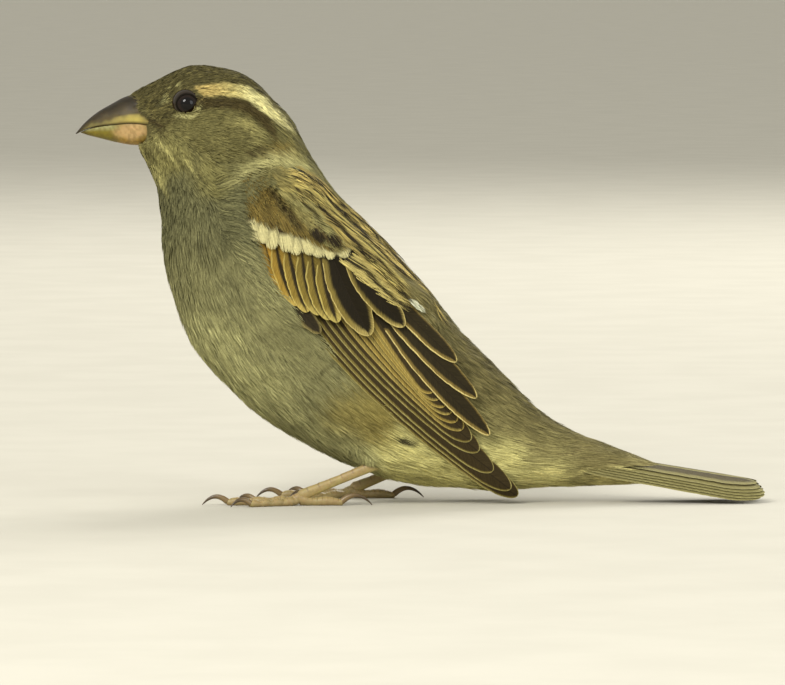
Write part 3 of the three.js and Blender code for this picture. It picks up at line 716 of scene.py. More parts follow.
def sow(coat, tips, ways, *, length, rise, base, form=FORM, over_wing=True, **how):
    """Feathers on both sides of the bird whose tips show at given places of the side view."""
    ways = unit(ways)
    length = np.broadcast_to(length, len(tips))
    aim = tips
    for _ in range(3):  # the tips stand off the form, so their places on it are a little lower
        point, normal, *_ = form.at(*find_place(aim[:, 0], aim[:, 1], form))
        high = base + rise
        if over_wing:
            high = high + lifted(point, normal)
        point = point + normal * np.reshape(high, (-1, 1))
        shown = np.stack(side(point[:, 0], point[:, 2] - SEEN * np.abs(point[:, 1])), -1)
        aim = aim + 0.8 * (tips - shown)
    roots = aim - ways * (length / VIEW * 0.92)[:, None]
    s, th = find_place(roots[:, 0], roots[:, 1], form)
    heading = find_heading(s, th, ways, form)
    for sign in (1, -1):
        coat.grow(s, sign * th, heading=sign * heading, length=length, rise=rise, base=base, form=form,
                  over_wing=over_wing, **how)


# ---------------------------------------------------------------- materials
class Nodes:
    """A short way to write a node tree."""

    def __init__(self, name):
        self.material = bpy.data.materials.new(name)
        self.material.use_nodes = True
        self.tree = self.material.node_tree
        self.shader = self.tree.nodes["Principled BSDF"]

    def add(self, kind, out=0, settings=None, **inputs):
        """A node's output. An input is named, or numbered as i0, i1 and so on."""
        node = self.tree.nodes.new(kind)
        for key, value in (settings or {}).items():
            setattr(node, key, value)
        for key, value in inputs.items():
            self.put(node.inputs[int(key[1:]) if key[1:].isdigit() else key.replace("_", " ")], value)
        return node.outputs[out]

    def put(self, socket, value):
        if isinstance(value, bpy.types.NodeSocket):
            self.tree.links.new(value, socket)
        elif isinstance(value, (tuple, np.ndarray)) and socket.type == "RGBA":
            socket.default_value = (*value, 1.0)
        else:
            socket.default_value = value

    def set(self, **inputs):
        for key, value in inputs.items():
            self.put(self.shader.inputs[key.replace("_", " ")], value)
        return self.material

    def attribute(self, name, out=0):
        return self.add("ShaderNodeAttribute", out, {"attribute_name": name})

    def math(self, operation, a, b=0.0):
        return self.add("ShaderNodeMath", 0, {"operation": operation}, i0=a, i1=b, i2=0.0)

    def mix(self, amount, a, b, blend="MIX"):
        return self.add("ShaderNodeMix", 2, {"data_type": "RGBA", "blend_type": blend}, i0=amount, i6=a, i7=b)

    def shaded(self, colour, shade):
        grey = self.add("ShaderNodeCombineColor", i0=shade, i1=shade, i2=shade)
        return self.mix(1.0, colour, grey, "MULTIPLY")

    def ramp(self, value, low, high, to_low=0.0, to_high=1.0):
        inputs = {f"i{k}": v for k, v in enumerate((value, low, high, to_low, to_high))}
        return self.add("ShaderNodeMapRange", 0, {"interpolation_type": "SMOOTHSTEP"}, **inputs)

    def noise(self, scale, detail=2.0, rough=0.5, vector=None):
        vector = vector or self.add("ShaderNodeTexCoord", 3)
        inputs = {"Vector": vector, "Scale": scale, "Detail": detail, "Roughness": rough}
        return self.add("ShaderNodeTexNoise", **inputs)

    def bump(self, height, strength, distance):
        return self.add("ShaderNodeBump", Strength=strength, Distance=distance, Height=height)


def coat_material():
    n = Nodes("Plumage")
    shade = n.ramp(n.noise(2600, 2), 0.25, 0.75, 0.86, 1.1)
    return n.set(Base_Color=n.shaded(n.attribute("Col"), shade), Roughness=0.75, Specular_IOR_Level=0.14)


def vane_material():
    """Flat feathers: a dark centre that fades into the web, a pale rim, slanting barbs and the shaft."""
    n = Nodes("Vanes")
    u, v, seed = n.add("ShaderNodeSeparateXYZ", Vector=n.attribute("Vane", 1)).node.outputs
    away = n.math("ABSOLUTE", v)
    slant = n.math("SUBTRACT", u, n.math("MULTIPLY", away, 1.4))

    def strands(fine, wide, shift):
        x, y, z = (n.math("MULTIPLY", *pair) for pair in ((slant, fine), (v, wide), (seed, shift)))
        return n.noise(1.0, 3, 0.6, n.add("ShaderNodeCombineXYZ", X=x, Y=y, Z=z))

    rough, strand = strands(9.0, 0.7, 40.0), strands(6.0, 0.9, 31.0)
    soft = n.attribute("Soft", 2)
    wander = n.math("MULTIPLY", n.math("SUBTRACT", rough, 0.5), n.math("MULTIPLY", soft, 2.2))
    share = n.ramp(n.math("ADD", n.attribute("Field", 2), wander), n.math("MULTIPLY", soft, -1.0), soft)
    colour = n.mix(share, n.attribute("Edge"), n.attribute("Col"))
    uneven = n.math("MULTIPLY", n.math("SUBTRACT", rough, 0.5), 0.28)
    rim = n.ramp(n.math("ADD", n.attribute("Outline", 2), uneven), -0.07, 0.09)
    colour = n.mix(rim, colour, n.attribute("Rim"))
    barbs = n.math("SINE", n.math("MULTIPLY", slant, 26.0))
    shade = n.math("ADD", n.ramp(strand, 0.25, 0.75, 0.68, 1.3), n.math("MULTIPLY", barbs, 0.05))
    shaft = n.ramp(away, 0.13, 0.04)
    colour = n.mix(n.math("MULTIPLY", shaft, 0.6), n.shaded(colour, shade), srgb(30, 24, 15))
    height = n.math("MULTIPLY", barbs, 0.4)
    height = n.math("ADD", height, n.math("ADD", strand, n.math("MULTIPLY", shaft, 1.2)))
    bump = n.bump(height, 0.5, 0.00006)
    return n.set(Base_Color=colour, Roughness=0.65, Specular_IOR_Level=0.08, Normal=bump)


def skin_material():
    n = Nodes("Skin")
    colour = n.mix(n.ramp(n.noise(900, 3), 0.35, 0.65, 0.0, 0.5), n.attribute("Col"), srgb(60, 52, 32))
    bump = n.bump(n.noise(1500, 3), 0.6, 0.0003)
    return n.set(Base_Color=colour, Roughness=0.85, Specular_IOR_Level=0.2, Normal=bump)


def horn_material():
    n = Nodes("Horn")
    vector = n.add("ShaderNodeMapping", Vector=n.add("ShaderNodeTexCoord", 3), Scale=(0.3, 1.0, 1.0))
    lines = n.noise(900, 4, 0.55, vector)
    colour = n.mix(n.ramp(n.noise(420, 3, 0.6), 0.35, 0.75, 0.0, 0.3), n.attribute("Col"), srgb(70, 58, 34))
    return n.set(Base_Color=colour, Roughness=n.ramp(lines, 0.3, 0.7, 0.48, 0.66), Specular_IOR_Level=0.2,
                 Subsurface_Weight=0.08, Subsurface_Scale=0.0006, Normal=n.bump(lines, 0.25, 0.00012))


def eye_material():
    n = Nodes("Eye")
    return n.set(Base_Color=n.attribute("Col"), Roughness=0.06, Specular_IOR_Level=0.24)


def scaled_material(name, rough, shine=0.4, worn=(92, 72, 46)):
    n = Nodes(name)
    fine = n.noise(1400, 3, 0.6)
    colour = n.mix(n.ramp(fine, 0.3, 0.75, 0.0, 0.3), n.attribute("Col"), srgb(*worn))
    return n.set(Base_Color=colour, Roughness=rough, Specular_IOR_Level=shine, Subsurface_Weight=0.06,
                 Subsurface_Scale=0.0005, Normal=n.bump(fine, 0.4, 0.00012))


COAT, VANES, SKIN = coat_material(), vane_material(), skin_material()
HORN, EYEBALL = horn_material(), eye_material()
LEG_SKIN, CLAW_HORN = scaled_material("LegSkin", 0.5), scaled_material("ClawHorn", 0.34)
LID_SKIN = scaled_material("LidSkin", 0.8, 0.06, (28, 23, 16))


# ---------------------------------------------------------------- skin
def make_skin():
    """The flesh under the feathers, from the face to the tail coverts, in one closed mesh."""
    s, th = np.linspace(0, 16.2, 330), np.linspace(-math.pi, math.pi, 161)
    grid_s, grid_t = np.meshgrid(s, th, indexing="ij")
    point, normal, *_ = FORM.at(grid_s, grid_t)
    depth = np.interp(grid_s, [0, 2, 4, 6, 8, 14, 15.4, 16.2], [0.35, 0.45, 0.7, 1.1, 1.5, 1.5, 2.2, 4.2])
    a, d = view_of(point)
    depth = depth + 1.1 * smooth(2.9, 2.2, eye_gap(a, d)) * (np.abs(normal[..., 1]) > 0.3)
    depth = depth + 0.5 * smooth(6, -4, past_bill(a, d))
    skin = (point - normal * depth[..., None])[:, :-1]
    rows, columns = skin.shape[:2]
    points = np.concatenate([skin.reshape(-1, 3), [skin[0].mean(0), skin[-1].mean(0)]])
    colours = (plumage(point) * 0.75)[:, :-1]
    colours = np.concatenate([colours.reshape(-1, 3), colours[0, :1], colours[-1, :1]])
    uv = np.stack([UV_START + UV_SPAN * v for v in (grid_s / LAST, (grid_t + math.pi) / (2 * math.pi))], -1)
    corners = ((uv[:-1, :-1], uv[1:, :-1], uv[1:, 1:], uv[:-1, 1:]), (uv[0, :-1], uv[0, :-1], uv[0, 1:]),
               (uv[-1, :-1], uv[-1, 1:], uv[-1, :-1]))  # a value for each corner, because the map has a seam
    uv = np.concatenate([np.stack(group, -2).reshape(-1, 2) for group in corners])
    flesh = ["head", "neck", "trunk", "tail_coverts_over", "tail_coverts_under", "left_thigh", "right_thigh"]
    add_piece("skin", points, [grid_faces(rows, columns, True), fan_caps(rows, columns)], SKIN, uv=uv,
              attributes={"Col": colours}, nodes=flesh, slot="plumage_body")


make_skin()


# ---------------------------------------------------------------- coat
def open_ground(points, s, th):
    """True where feathers grow: behind the bill, off the eyes, and not deep under the wings."""
    a, d = view_of(points)
    off_eye = (eye_gap(a + 0.5, d) > 1.8) | (np.abs(points[:, 1]) < 4)
    edge, _ = polyline_distance(a, d, WING_OUTLINE + WING_OUTLINE[:1])
    over, _ = polyline_distance(a, d, OVERLAY)
    deep = (edge > 16) | ((over < 30) & ((edge > 9) | (a < 395)))
    hidden = inside(a, d, WING_OUTLINE) & deep & (np.abs(th) > 0.35)
    return (past_bill(a, d) > 0) & off_eye & ~hidden


def fade_in(t, low, gain, full):
    """Painted shade along a feather's length: darker at its root, where the others cover it."""
    return (low + gain * smooth(0, full, t))[..., None]


def varied(feather, amount):
    """Each feather's own tone."""
    return (1 + amount * (feather - 0.5))[..., None]


def ridge_of(home):
    return smooth(0.14, 0.46, np.abs(home[..., 1]))


def head_shade(points, c, t, feather, home):
    tip = points[:, :, -1:]
    colour = plumage(tip, ridge_of(home))
    a, d = view_of(tip)
    crown = smooth(112, 88, d + (a - 240) * 0.35) * smooth(330, 290, a) * (1 - mark(a, d, BROW, 2))
    streak = 1 - crown[..., None] * 0.4 * (np.abs(c) < 0.3)[..., None]
    throat = np.maximum(mark(a, d, MALAR, 10), mark(a, d, THROAT, 10))
    streak = streak * (1 - throat[..., None] * 0.45 * smooth(0.5, 0.75, feather)[..., None])
    fleck = 1 + mark(a, d, LORE, 5)[..., None] * (feather - 0.45)[..., None]
    return colour * streak * fleck * fade_in(t, 0.62, 0.42, 0.7) * varied(feather, 0.16)


def body_shade(points, c, t, feather, home):
    tip = points[:, :, -1:]
    colour = plumage(tip, ridge_of(home))
    a, d = view_of(tip)
    lie = np.concatenate([home * [1.0, 7.0], 0 * home[..., :1]], -1)
    soft, fine = noise(lie, 1.0, 51) - 0.5, noise(lie * [2.4, 3.2, 1], 1.0, 52) - 0.5
    front = smooth(480, 400, a) * smooth(190, 240, d)
    tone = 1 + (0.16 + 0.12 * front) * soft + 0.08 * fine
    shaft = 1 - ((front * 0.3 + 0.1) * smooth(0.5, 0.9, feather))[..., None] * (np.abs(c) < 0.2)[..., None]
    rump = smooth(400, 440, a) * smooth(470, 400, d)
    centre = rump[..., None] * 0.4 * (np.abs(c) < 0.4)[..., None] * smooth(0.2, 0.6, feather)[..., None]
    # painted shadow under the flank feathers' edge, over the thigh
    colour = painted(colour, a, d, [((36, 31, 18), 0.95, FLANK_EDGE_SHADOW, 2.5)])
    shade = fade_in(t, 0.7, 0.33, 0.75)
    return colour * (shaft * (1 - centre)) * shade * tone[..., None] * varied(feather, 0.07)


def covert_shade(top):
    """Long coverts with a darker middle: buff over the tail, cream under it."""
    pale, dark = ((158, 150, 106), (94, 84, 56)) if top else ((222, 214, 154), (168, 156, 100))

    def shade(points, c, t, feather, home):
        middle = (smooth(0.62, 0.3, np.abs(c)) * smooth(1.0, 0.86, t))[..., None] * (0.8 if top else 0.4)
        colour = srgb(*pale) * (1 - middle) + srgb(*dark) * middle
        return colour * fade_in(t, 0.66, 0.36, 0.6) * varied(feather, 0.2)

    return shade


def head_gap(points):
    a, d = view_of(points)
    face = smooth(60, 25, np.hypot(a - 165, d - 115))
    return np.interp(a + (d - 100) * 0.4, [150, 220, 300], [0.5, 0.62, 0.95]) - 0.08 * face


def body_gap(points):
    return np.interp(view_of(points)[1], [150, 240, 480], [0.9, 1.12, 1.18])


def ruffled(points, s, th, rng):
    """The lie of the coat with a little disorder."""
    return lie_of_head(points, s, th) + rng.normal(0, 0.10, len(s))


def head_feathers(coat, rng):
    s, th = scatter(lambda points, s, th: open_ground(points, s, th) & (s < 5.8), head_gap, rng)
    points = FORM.at(s, th)[0]
    size = head_gap(points)
    coat.grow(s, th, length=size * rng.uniform(4.2, 5.4, len(s)), width=size * 2.3,
              root=0.3 + 0.35 * smooth(1, 5, s), rise=rng.uniform(0.02, 0.12, len(s)),
              heading=ruffled(points, s, th, rng), barbs=9, steps=3, shade=head_shade, rough=0.03,
              strands=0.16)


def bill_base_feathers(coat, rng):
    """Short feathers that point forwards over the base of the bill."""
    rows = []
    for back in (0.5, 1.1, 1.8):
        u = np.linspace(0, 1, 46) + rng.normal(0, 0.006, 46)
        edge = along_line(BILL_EDGE[1:, ::-1], np.clip(u, 0, 1))
        rows.append(edge + [back / VIEW * 0.9, 0])
    edge = np.concatenate(rows)
    s, th = find_place(edge[:, 0], edge[:, 1], FORM)
    way = np.stack([np.full(len(s), -1.0), np.interp(edge[:, 1], [98, 122, 150], [-0.15, 0.1, 0.9])], -1)
    way = way + rng.normal(0, 0.2, (len(s), 2))
    for sign in (1, -1):
        heading = sign * find_heading(s, th, way, FORM)
        coat.grow(s, sign * th, length=rng.uniform(1.0, 1.7, len(s)), width=0.8, root=0.25, rise=0.1,
                  base=0.05, heading=heading, barbs=5, steps=3, half=0.06, shade=head_shade, rough=0.05,
                  strands=0.3)


def body_feathers(coat, rng):
    """The trunk's and the neck's feathers, shorter where they would run over the front of the wing."""
    s, th = scatter(lambda points, s, th: open_ground(points, s, th) & (s >= 5.4) & (s < 15.9), body_gap, rng)
    points = FORM.at(s, th)[0]
    size = body_gap(points)
    a, d = view_of(points)
    room = polyline_distance(a, d, OVERLAY)[0] * VIEW
    room = np.where(inside(a, d, WING_OUTLINE) | (a > 330) | (d < 163), 20, room)
    length = size * rng.uniform(5.0, 6.8, len(s)) * (1 + 0.45 * smooth(13, 15, s))
    coat.grow(s, th, length=np.minimum(length, np.maximum(2.4, 1.3 * room + 0.8)), width=size * 3.3, root=1.2,
              rise=rng.uniform(0.05, 0.4, len(s)), heading=ruffled(points, s, th, rng), barbs=21, half=0.09,
              shade=body_shade)


def breast_side_feathers(coat, rng):
    """Loose feathers that lap over the front of the wing."""
    line = [(300, 326), (286, 313), (270, 294), (260, 268), (252, 244), (247, 224), (243, 203), (244, 188)]
    way_of = [(0.78, 0.62), (0.72, 0.7), (0.7, 0.72), (0.74, 0.66), (0.82, 0.56), (0.88, 0.46), (0.92, 0.36),
              (0.9, 0.1)]
    u = np.concatenate([np.linspace(0.01, 0.99, 40) + rng.normal(0, 0.01, 40) for _ in range(3)])
    u = np.clip(u, 0, 1)
    tips = along_line(line, u) + rng.uniform(-6, 5, (len(u), 1)) * [1, 0.3]
    ways = along_line(way_of, u) + rng.normal(0, 0.12, (len(u), 2))
    sow(coat, tips, ways, length=rng.uniform(4.5, 6.5, len(u)), width=3.4, root=0.9, rise=0.25, base=0.35,
        barbs=15, shade=body_shade, rough=0.12, strands=0.3, taper=0.8)


def flank_feathers(coat, rng):
    """The flank's feathers where they slip under the wing's lower edge."""
    line, count = [(280, 314), (292, 326), (304, 338), (318, 350), (334, 364)], 24
    for inward in (-22, -15, -8, -1):
        u = np.clip(np.linspace(0, 1, count) + rng.normal(0, 0.02, count), 0, 1)
        tips = along_line(line, u) + np.array([0.74, -0.68]) * (inward + rng.normal(0, 2.0, (count, 1)))
        ways = np.tile([0.66, 0.75], (count, 1)) + rng.normal(0, 0.08, (count, 2))
        sow(coat, tips, ways, length=rng.uniform(4.6, 6.2, count), width=3.6, root=1.0, rise=0.12, base=0.3,
            barbs=19, half=0.09, shade=body_shade, taper=0.8)


def thigh_feathers(coat, rng):
    """Loose feathers over the top of the leg."""
    tips = np.array([(350, 460), (354, 463), (358, 465), (362, 467), (366, 468), (371, 470)])
    tips = tips + rng.normal(0, 1, (6, 2))
    ways = np.tile([0.15, 1.0], (6, 1)) + rng.normal(0, 0.12, (6, 2))
    sow(coat, tips, ways, length=rng.uniform(3.6, 4.6, 6), width=3.0, root=1.2, rise=0.12, base=0.25,
        barbs=21, half=0.09, shade=body_shade, taper=0.8, over_wing=False)


def tail_coverts(coat, rng):
    """Long coverts that run on over and under the base of the tail."""
    for top, count, reach, spread in ((True, 150, 10.5, 1.25), (False, 190, 11.0, 1.35)):
        s = rng.uniform(14.3, 16.9, count)
        th = (0 if top else math.pi) + rng.uniform(-spread, spread, count)
        coat.grow(s, th, length=reach * rng.uniform(0.8, 1.1, count), width=3.0, root=1.0, rise=0.1,
                  heading=rng.normal(0, 0.05, count) * 0.6, barbs=21, steps=5, half=0.11,
                  shade=covert_shade(top), rough=0.05, strands=0.12, over_wing=False)


def make_coat():
    rng = np.random.default_rng(7)
    coat = Coat(rng)
    for part in (head_feathers, bill_base_feathers, body_feathers, breast_side_feathers, flank_feathers,
                 thigh_feathers, tail_coverts):
        part(coat, rng)
    coat.pieces("coat")


make_coat()


# ---------------------------------------------------------------- flat feathers
def ragged(along, across, seed, scale):
    """Noise that differs on the two webs of a feather and from feather to feather."""
    return noise(np.stack([along, across, 0 * along + seed], -1), scale)


class Vanes:
    """Flat feathers with a shaft, gathered until they are turned into a piece."""

    FIELDS = ("Col", "Edge", "Rim", "Vane", "Field", "Soft", "Outline")
    SHAFT_HEIGHT, SHAFT_WIDTH = 0.035, 0.09

    def __init__(self):
        self.points, self.faces, self.uv, self.attributes = [], [], [], {k: [] for k in self.FIELDS}
        self.count = 0

    def add(self, surface, root, tip, width, *, centre, edge, rim, seed, bend=0.0, rise=(0.0, 0.0),
            fringe=(0.0, 0.0), streak=None, soft=0.18, rim_width=0.22, upper_rim=0.0, tip_pale=0.0,
            camber=0.05, blunt=0.25, narrow=0.45, pointed=2.2, rows=30, columns=13, root_shade=0.7,
            level=False, wavy=0.12, flare=0.0):
        """surface(x, z) gives points and normals; root and tip are places in mm and bend bows the feather.
        The dark centre keeps fringe = (lower, upper) mm off the margins, or is a streak = (offset, half)."""
        rng = np.random.default_rng(int(1000 * seed) + 17)
        root, tip = np.asarray(root, float), np.asarray(tip, float)
        axis = tip - root
        length = np.hypot(*axis)
        axis = axis / length
        cross = np.array([-axis[1], axis[0]])
        t = 1 - (1 - np.linspace(0, 1, rows)) ** 1.7  # rows crowd towards the tip
        half = width / 2 * (narrow + (1 - narrow) * smooth(0, 0.35, t))
        rest = np.clip((t - (1 - blunt)) / blunt, 0, 1)
        half = half * np.sqrt(np.clip(1 - rest**pointed, 0.0, 1))
        tt, cc = np.meshgrid(t, np.linspace(-1, 1, columns), indexing="ij")
        wave = ragged(tt * length, np.sign(cc) * 3, seed * 50, 0.6) - 0.5
        hh = half[:, None] * (1 + wave * wavy * np.abs(cc))
        v = cc * hh
        sweep = bend * np.sin(math.pi * tt)
        flat = root + axis * (tt * length)[..., None] + cross * (v + sweep)[..., None]
        point, normal = surface(flat[..., 0], flat[..., 1])
        height = rise[0] + (rise[1] - rise[0]) * tt + camber * (1 - cc**2) * width * 0.12 - 0.02 * cc**4
        height = height + self.SHAFT_HEIGHT * np.exp(-((cc / self.SHAFT_WIDTH) ** 2))
        height = height + rng.normal(0, 0.005, cc.shape)
        if level:
            point = point + normal * height[..., None]
        else:  # straight out to the side, and further where the surface leans
            point = point + (height * np.minimum(1 / normal[..., 1], 1.5))[..., None] * [0, 1, 0]
        outline = np.concatenate([flat[2:, 0], flat[-1], flat[2:, -1][::-1]])
        gap = np.full(tt.shape, 1e9)
        for p, q in zip(outline[:-1], outline[1:]):
            step = q - p
            k = np.clip(((flat - p) @ step) / (step @ step + 1e-12), 0, 1)
            gap = np.minimum(gap, np.linalg.norm(flat - p - k[..., None] * step, axis=-1))
        if streak:
            reach = streak[1] * smooth(1.0, 0.8, tt) * (0.4 + 0.6 * smooth(0, 0.5, tt))
            field = reach - np.abs(v - streak[0])
        else:
            field = gap - np.where(cc < 0, *fringe) * (1 + flare * (1 - tt) ** 1.5)
        uneven = 0.55 + 0.9 * ragged(tt * length * 0.5, np.sign(cc) * 5, seed * 70, 0.9)
        upper = rim_width * (upper_rim + (1 - upper_rim) * smooth(0.9, 1.0, tt))
        # painted shade: each feather darker towards its root, where the feathers over it cover it
        shade = (root_shade + (1 - root_shade) * smooth(0.0, 0.5, tt))[..., None]
        paler = (tip_pale * smooth(0.7, 1.0, tt))[..., None]
        edge_colour = srgb(*edge) * (1 - paler) + srgb(*rim) * paler
        own = np.full(tt.shape, seed % 1.0)
        values = (srgb(*centre) * shade, edge_colour * shade, srgb(*rim) * shade,
                  np.stack([tt * length, v, own], -1), field, np.full(tt.shape, soft),
                  np.where(cc < 0, rim_width, upper) * uneven - gap)
        for key, value in zip(self.FIELDS, values):
            self.attributes[key].append(value.reshape(-1, 3) if value.ndim == 3 else value.ravel())
        strip = np.full(tt.shape, len(self.points)) + (cc + 1) * 0.45 + 0.05
        self.uv.append(np.stack([tt, strip], -1).reshape(-1, 2))
        self.points.append(point.reshape(-1, 3))
        self.faces.append(grid_faces(rows, columns, first=self.count))
        self.count += rows * columns

    def piece(self, name, mirrored=False, **links):
        points, faces = mirror(np.concatenate(self.points), [np.concatenate(self.faces)], mirrored)
        uv = 0.005 + 0.99 * np.concatenate(self.uv) / [1, len(self.points)]
        attributes = {k: np.concatenate(v) for k, v in self.attributes.items()}
        add_piece(name, points, faces, VANES, uv=uv, attributes=attributes, **links)


def mirror(points, faces, mirrored):
    """The same mesh, or the one on the bird's other side."""
    return (points * [1, -1, 1], [f[:, ::-1] for f in faces]) if mirrored else (points, faces)


def spot(pair):
    """Where a feather on the wing's surface shows at a place of the photograph, seen from a little above."""
    x, z = place(*pair)
    return np.array([x, z + SEEN * PLATE.at(np.array([x]), np.array([z]))[0][0, 1]])


# The wing's feathers from the lowest up, by roots and tips; widths and bends are in the side view's units.
FLIGHT_TIPS = [(517, 496), (510, 489), (492, 471), (478, 451), (470, 440), (462, 429), (456, 421), (450, 413),
               (444, 406), (438, 399), (432, 392)]
FLIGHT_ROOTS = [(272, 266), (290, 262), (312, 262), (335, 266), (356, 280)]
PRIMARIES = 5
FLIGHT = dict(centre=(56, 47, 29), flare=1.2, rim_width=0.15, wavy=0.05, blunt=0.12, narrow=0.6, rows=50,
              columns=15, root_shade=0.8)
PRIMARY = dict(edge=(112, 100, 54), rim=(158, 149, 98), fringe=(0.3, 0.12), soft=0.12)
SECONDARY = dict(rim=(168, 149, 86), fringe=(0.42, 0.2), soft=0.2)
SECONDARY_EDGES = ((136, 118, 62), (134, 120, 70))
ALULA = [((258, 266), (300, 314), 15), ((268, 266), (311, 328), 15), ((276, 268), (321, 333), 16)]
TERTIALS = [((383, 315), (489, 434), 20.5, -3), ((376, 293), (476, 397), 20.5, -2.5),
            ((382, 286), (456, 361), 18, -1.5)]
GREATER_ROOTS = [(252, 228), (264, 233), (276, 239), (289, 244), (302, 249), (313, 253), (323, 256)]
GREATER_TIPS = [(274, 290), (287, 299), (299, 307), (309, 312), (319, 316), (330, 320), (340, 323)]
GREATER_WARM = (1.0, 0.8, 0.4, 0.15, 0, 0, 0)  # how much the rufous of the outer greater coverts shows
INNER_GREATER = [((330, 250), (370, 335), 32, (1.0, 0.5)), ((348, 254), (404, 326), 26, (0.6, 0.3))]


def wing(rng):
    """The near wing's flight feathers, tertials and greater coverts."""
    flight, inner, coverts = Vanes(), Vanes(), Vanes()
    roots = along_line(FLIGHT_ROOTS, np.linspace(0, 1, len(FLIGHT_TIPS)))
    for k, tip in enumerate(FLIGHT_TIPS):
        kind = PRIMARY if k < PRIMARIES else dict(SECONDARY, edge=SECONDARY_EDGES[k % 2])
        flight.add(PLATE.at, spot(roots[k]), spot(tip), (25 - 0.7 * k) * VIEW, seed=rng.random(),
                   bend=-(14 - 1.2 * k) * VIEW, rise=(0.2 + 0.14 * k, 0.15 + 0.13 * k), **kind, **FLIGHT)
    for k, (root, tip, width) in enumerate(ALULA):  # and the primary coverts
        coverts.add(PLATE.at, spot(root), spot(tip), width * VIEW, seed=rng.random(), centre=(44, 38, 26),
                    edge=(104, 94, 60), rim=(140, 130, 88), fringe=(0.4, 0.3), rim_width=0.12, bend=-3 * VIEW,
                    rise=(1.1 + 0.2 * k, 1.5 + 0.2 * k), blunt=0.3, rows=24)
    for k, (root, tip, width, bow) in enumerate(TERTIALS):
        high = 1.75 + 0.25 * k
        inner.add(PLATE.at, spot(root), spot(tip), width * VIEW, seed=rng.random(), centre=(44, 38, 23),
                  edge=(118, 101, 56), rim=(204, 188, 128), fringe=(0.62, 0.2), soft=0.22, rim_width=0.19,
                  wavy=0.07, bend=bow * VIEW, rise=(high, high), blunt=0.34, pointed=1.7, narrow=0.7, rows=40,
                  columns=17, root_shade=0.85)
    for k, (root, tip, warm) in enumerate(zip(GREATER_ROOTS, GREATER_TIPS, GREATER_WARM)):
        edge = np.array([114, 99, 46]) * (1 - warm) + np.array([184, 142, 56]) * warm
        rim = np.array([170, 155, 92]) * (1 - warm) + np.array([198, 163, 78]) * warm
        coverts.add(PLATE.at, spot(root + rng.normal(0, 1, 2)), spot(tip + rng.normal(0, 1, 2)), 18.5 * VIEW,
                    seed=rng.random(), centre=(42, 35, 20), edge=edge, rim=rim,
                    streak=(-0.05, 0.45 if k > 1 else 0.2), soft=0.24, rim_width=0.26, tip_pale=0.9, wavy=0.1,
                    bend=-(3 + rng.uniform(-1, 1)) * VIEW, rise=(1.7 + 0.12 * k, 1.9 + 0.12 * k), blunt=0.3,
                    pointed=1.7, columns=15)
    for k, (root, tip, width, fringe) in enumerate(INNER_GREATER):
        coverts.add(PLATE.at, spot(root), spot(tip), width * VIEW, seed=rng.random(), centre=(29, 24, 12),
                    edge=(118, 104, 54), rim=(180, 164, 108), fringe=fringe, soft=0.4, rim_width=0.17,
                    wavy=0.08, tip_pale=0.5, bend=-2 * VIEW, rise=(2.5 + 0.16 * k, 2.72 + 0.16 * k),
                    blunt=0.45, pointed=1.8, narrow=0.6, rows=34, columns=19, root_shade=0.85, upper_rim=0.6)
    return flight, inner, coverts


# The white bar on the median coverts, and the small coverts between it and the scapulars.
BAR_TIPS = [(250, 239), (262, 244), (276, 250), (290, 254.5), (304, 257), (317, 261), (332, 263.5),
            (350, 259)]
BAR_TOP = [(248, 219), (262, 225), (276, 231), (290, 236), (303, 240), (315, 245), (322, 251), (335, 253.5),
           (351, 255)]
SHOULDER_TOP = [(242, 190), (248, 178), (262, 176), (276, 183), (288, 192), (300, 204), (313, 221),
                (326, 237), (342, 249)]
SHOULDER_GREY = [(274, 184, 2), (290, 195, 5), (305, 210, 8), (320, 228, 7), (332, 240, 5), (344, 250, 4)]
DARK_SPOTS = [[(273, 189, 2), (285, 204, 4), (296, 220, 5), (303, 228, 3)], [(316, 230, 2), (322, 240, 4)],
              [(330, 240, 2), (336, 247, 4.5)]]
SHOULDER_MARKS = [((152, 146, 98), 0.75, SHOULDER_GREY, 3)]
SHOULDER_MARKS += [((44, 36, 20), 0.85, line, 3) for line in DARK_SPOTS]


def shoulder_shade(points, c, t, feather, home):
    tip = points[:, :, -1:]
    a, d = view_of(tip)
    colour = np.broadcast_to(srgb(114, 97, 49), tip.shape) * (0.82 + 0.36 * noise(tip, 0.9, 61))[..., None]
    colour = painted(colour, a, d, SHOULDER_MARKS)
    colour = blended(colour, srgb(150, 144, 98), 0.7 * smooth(252, 243, a) * smooth(190, 205, d))
    margin = np.maximum(smooth(0.55, 1.0, np.abs(c)), smooth(0.72, 1.0, t))
    colour = blended(colour * 0.86, srgb(140, 128, 78), 0.5 * margin)
    return colour * fade_in(t, 0.42, 0.62, 0.75) * varied(feather, 0.3)


def bar_shade(points, c, t, feather, home):
    white = smooth(0.30, 0.42, t + 0.05 * (feather - 0.5))[..., None]
    cream = srgb(192, 185, 142) * (1 - 0.35 * smooth(0.6, 1.0, np.abs(c)))[..., None]
    tip = 1 - 0.14 * smooth(0.8, 1.0, t)[..., None]
    return (srgb(58, 46, 26) * (1 - white) + cream * white) * tip * varied(feather, 0.1)


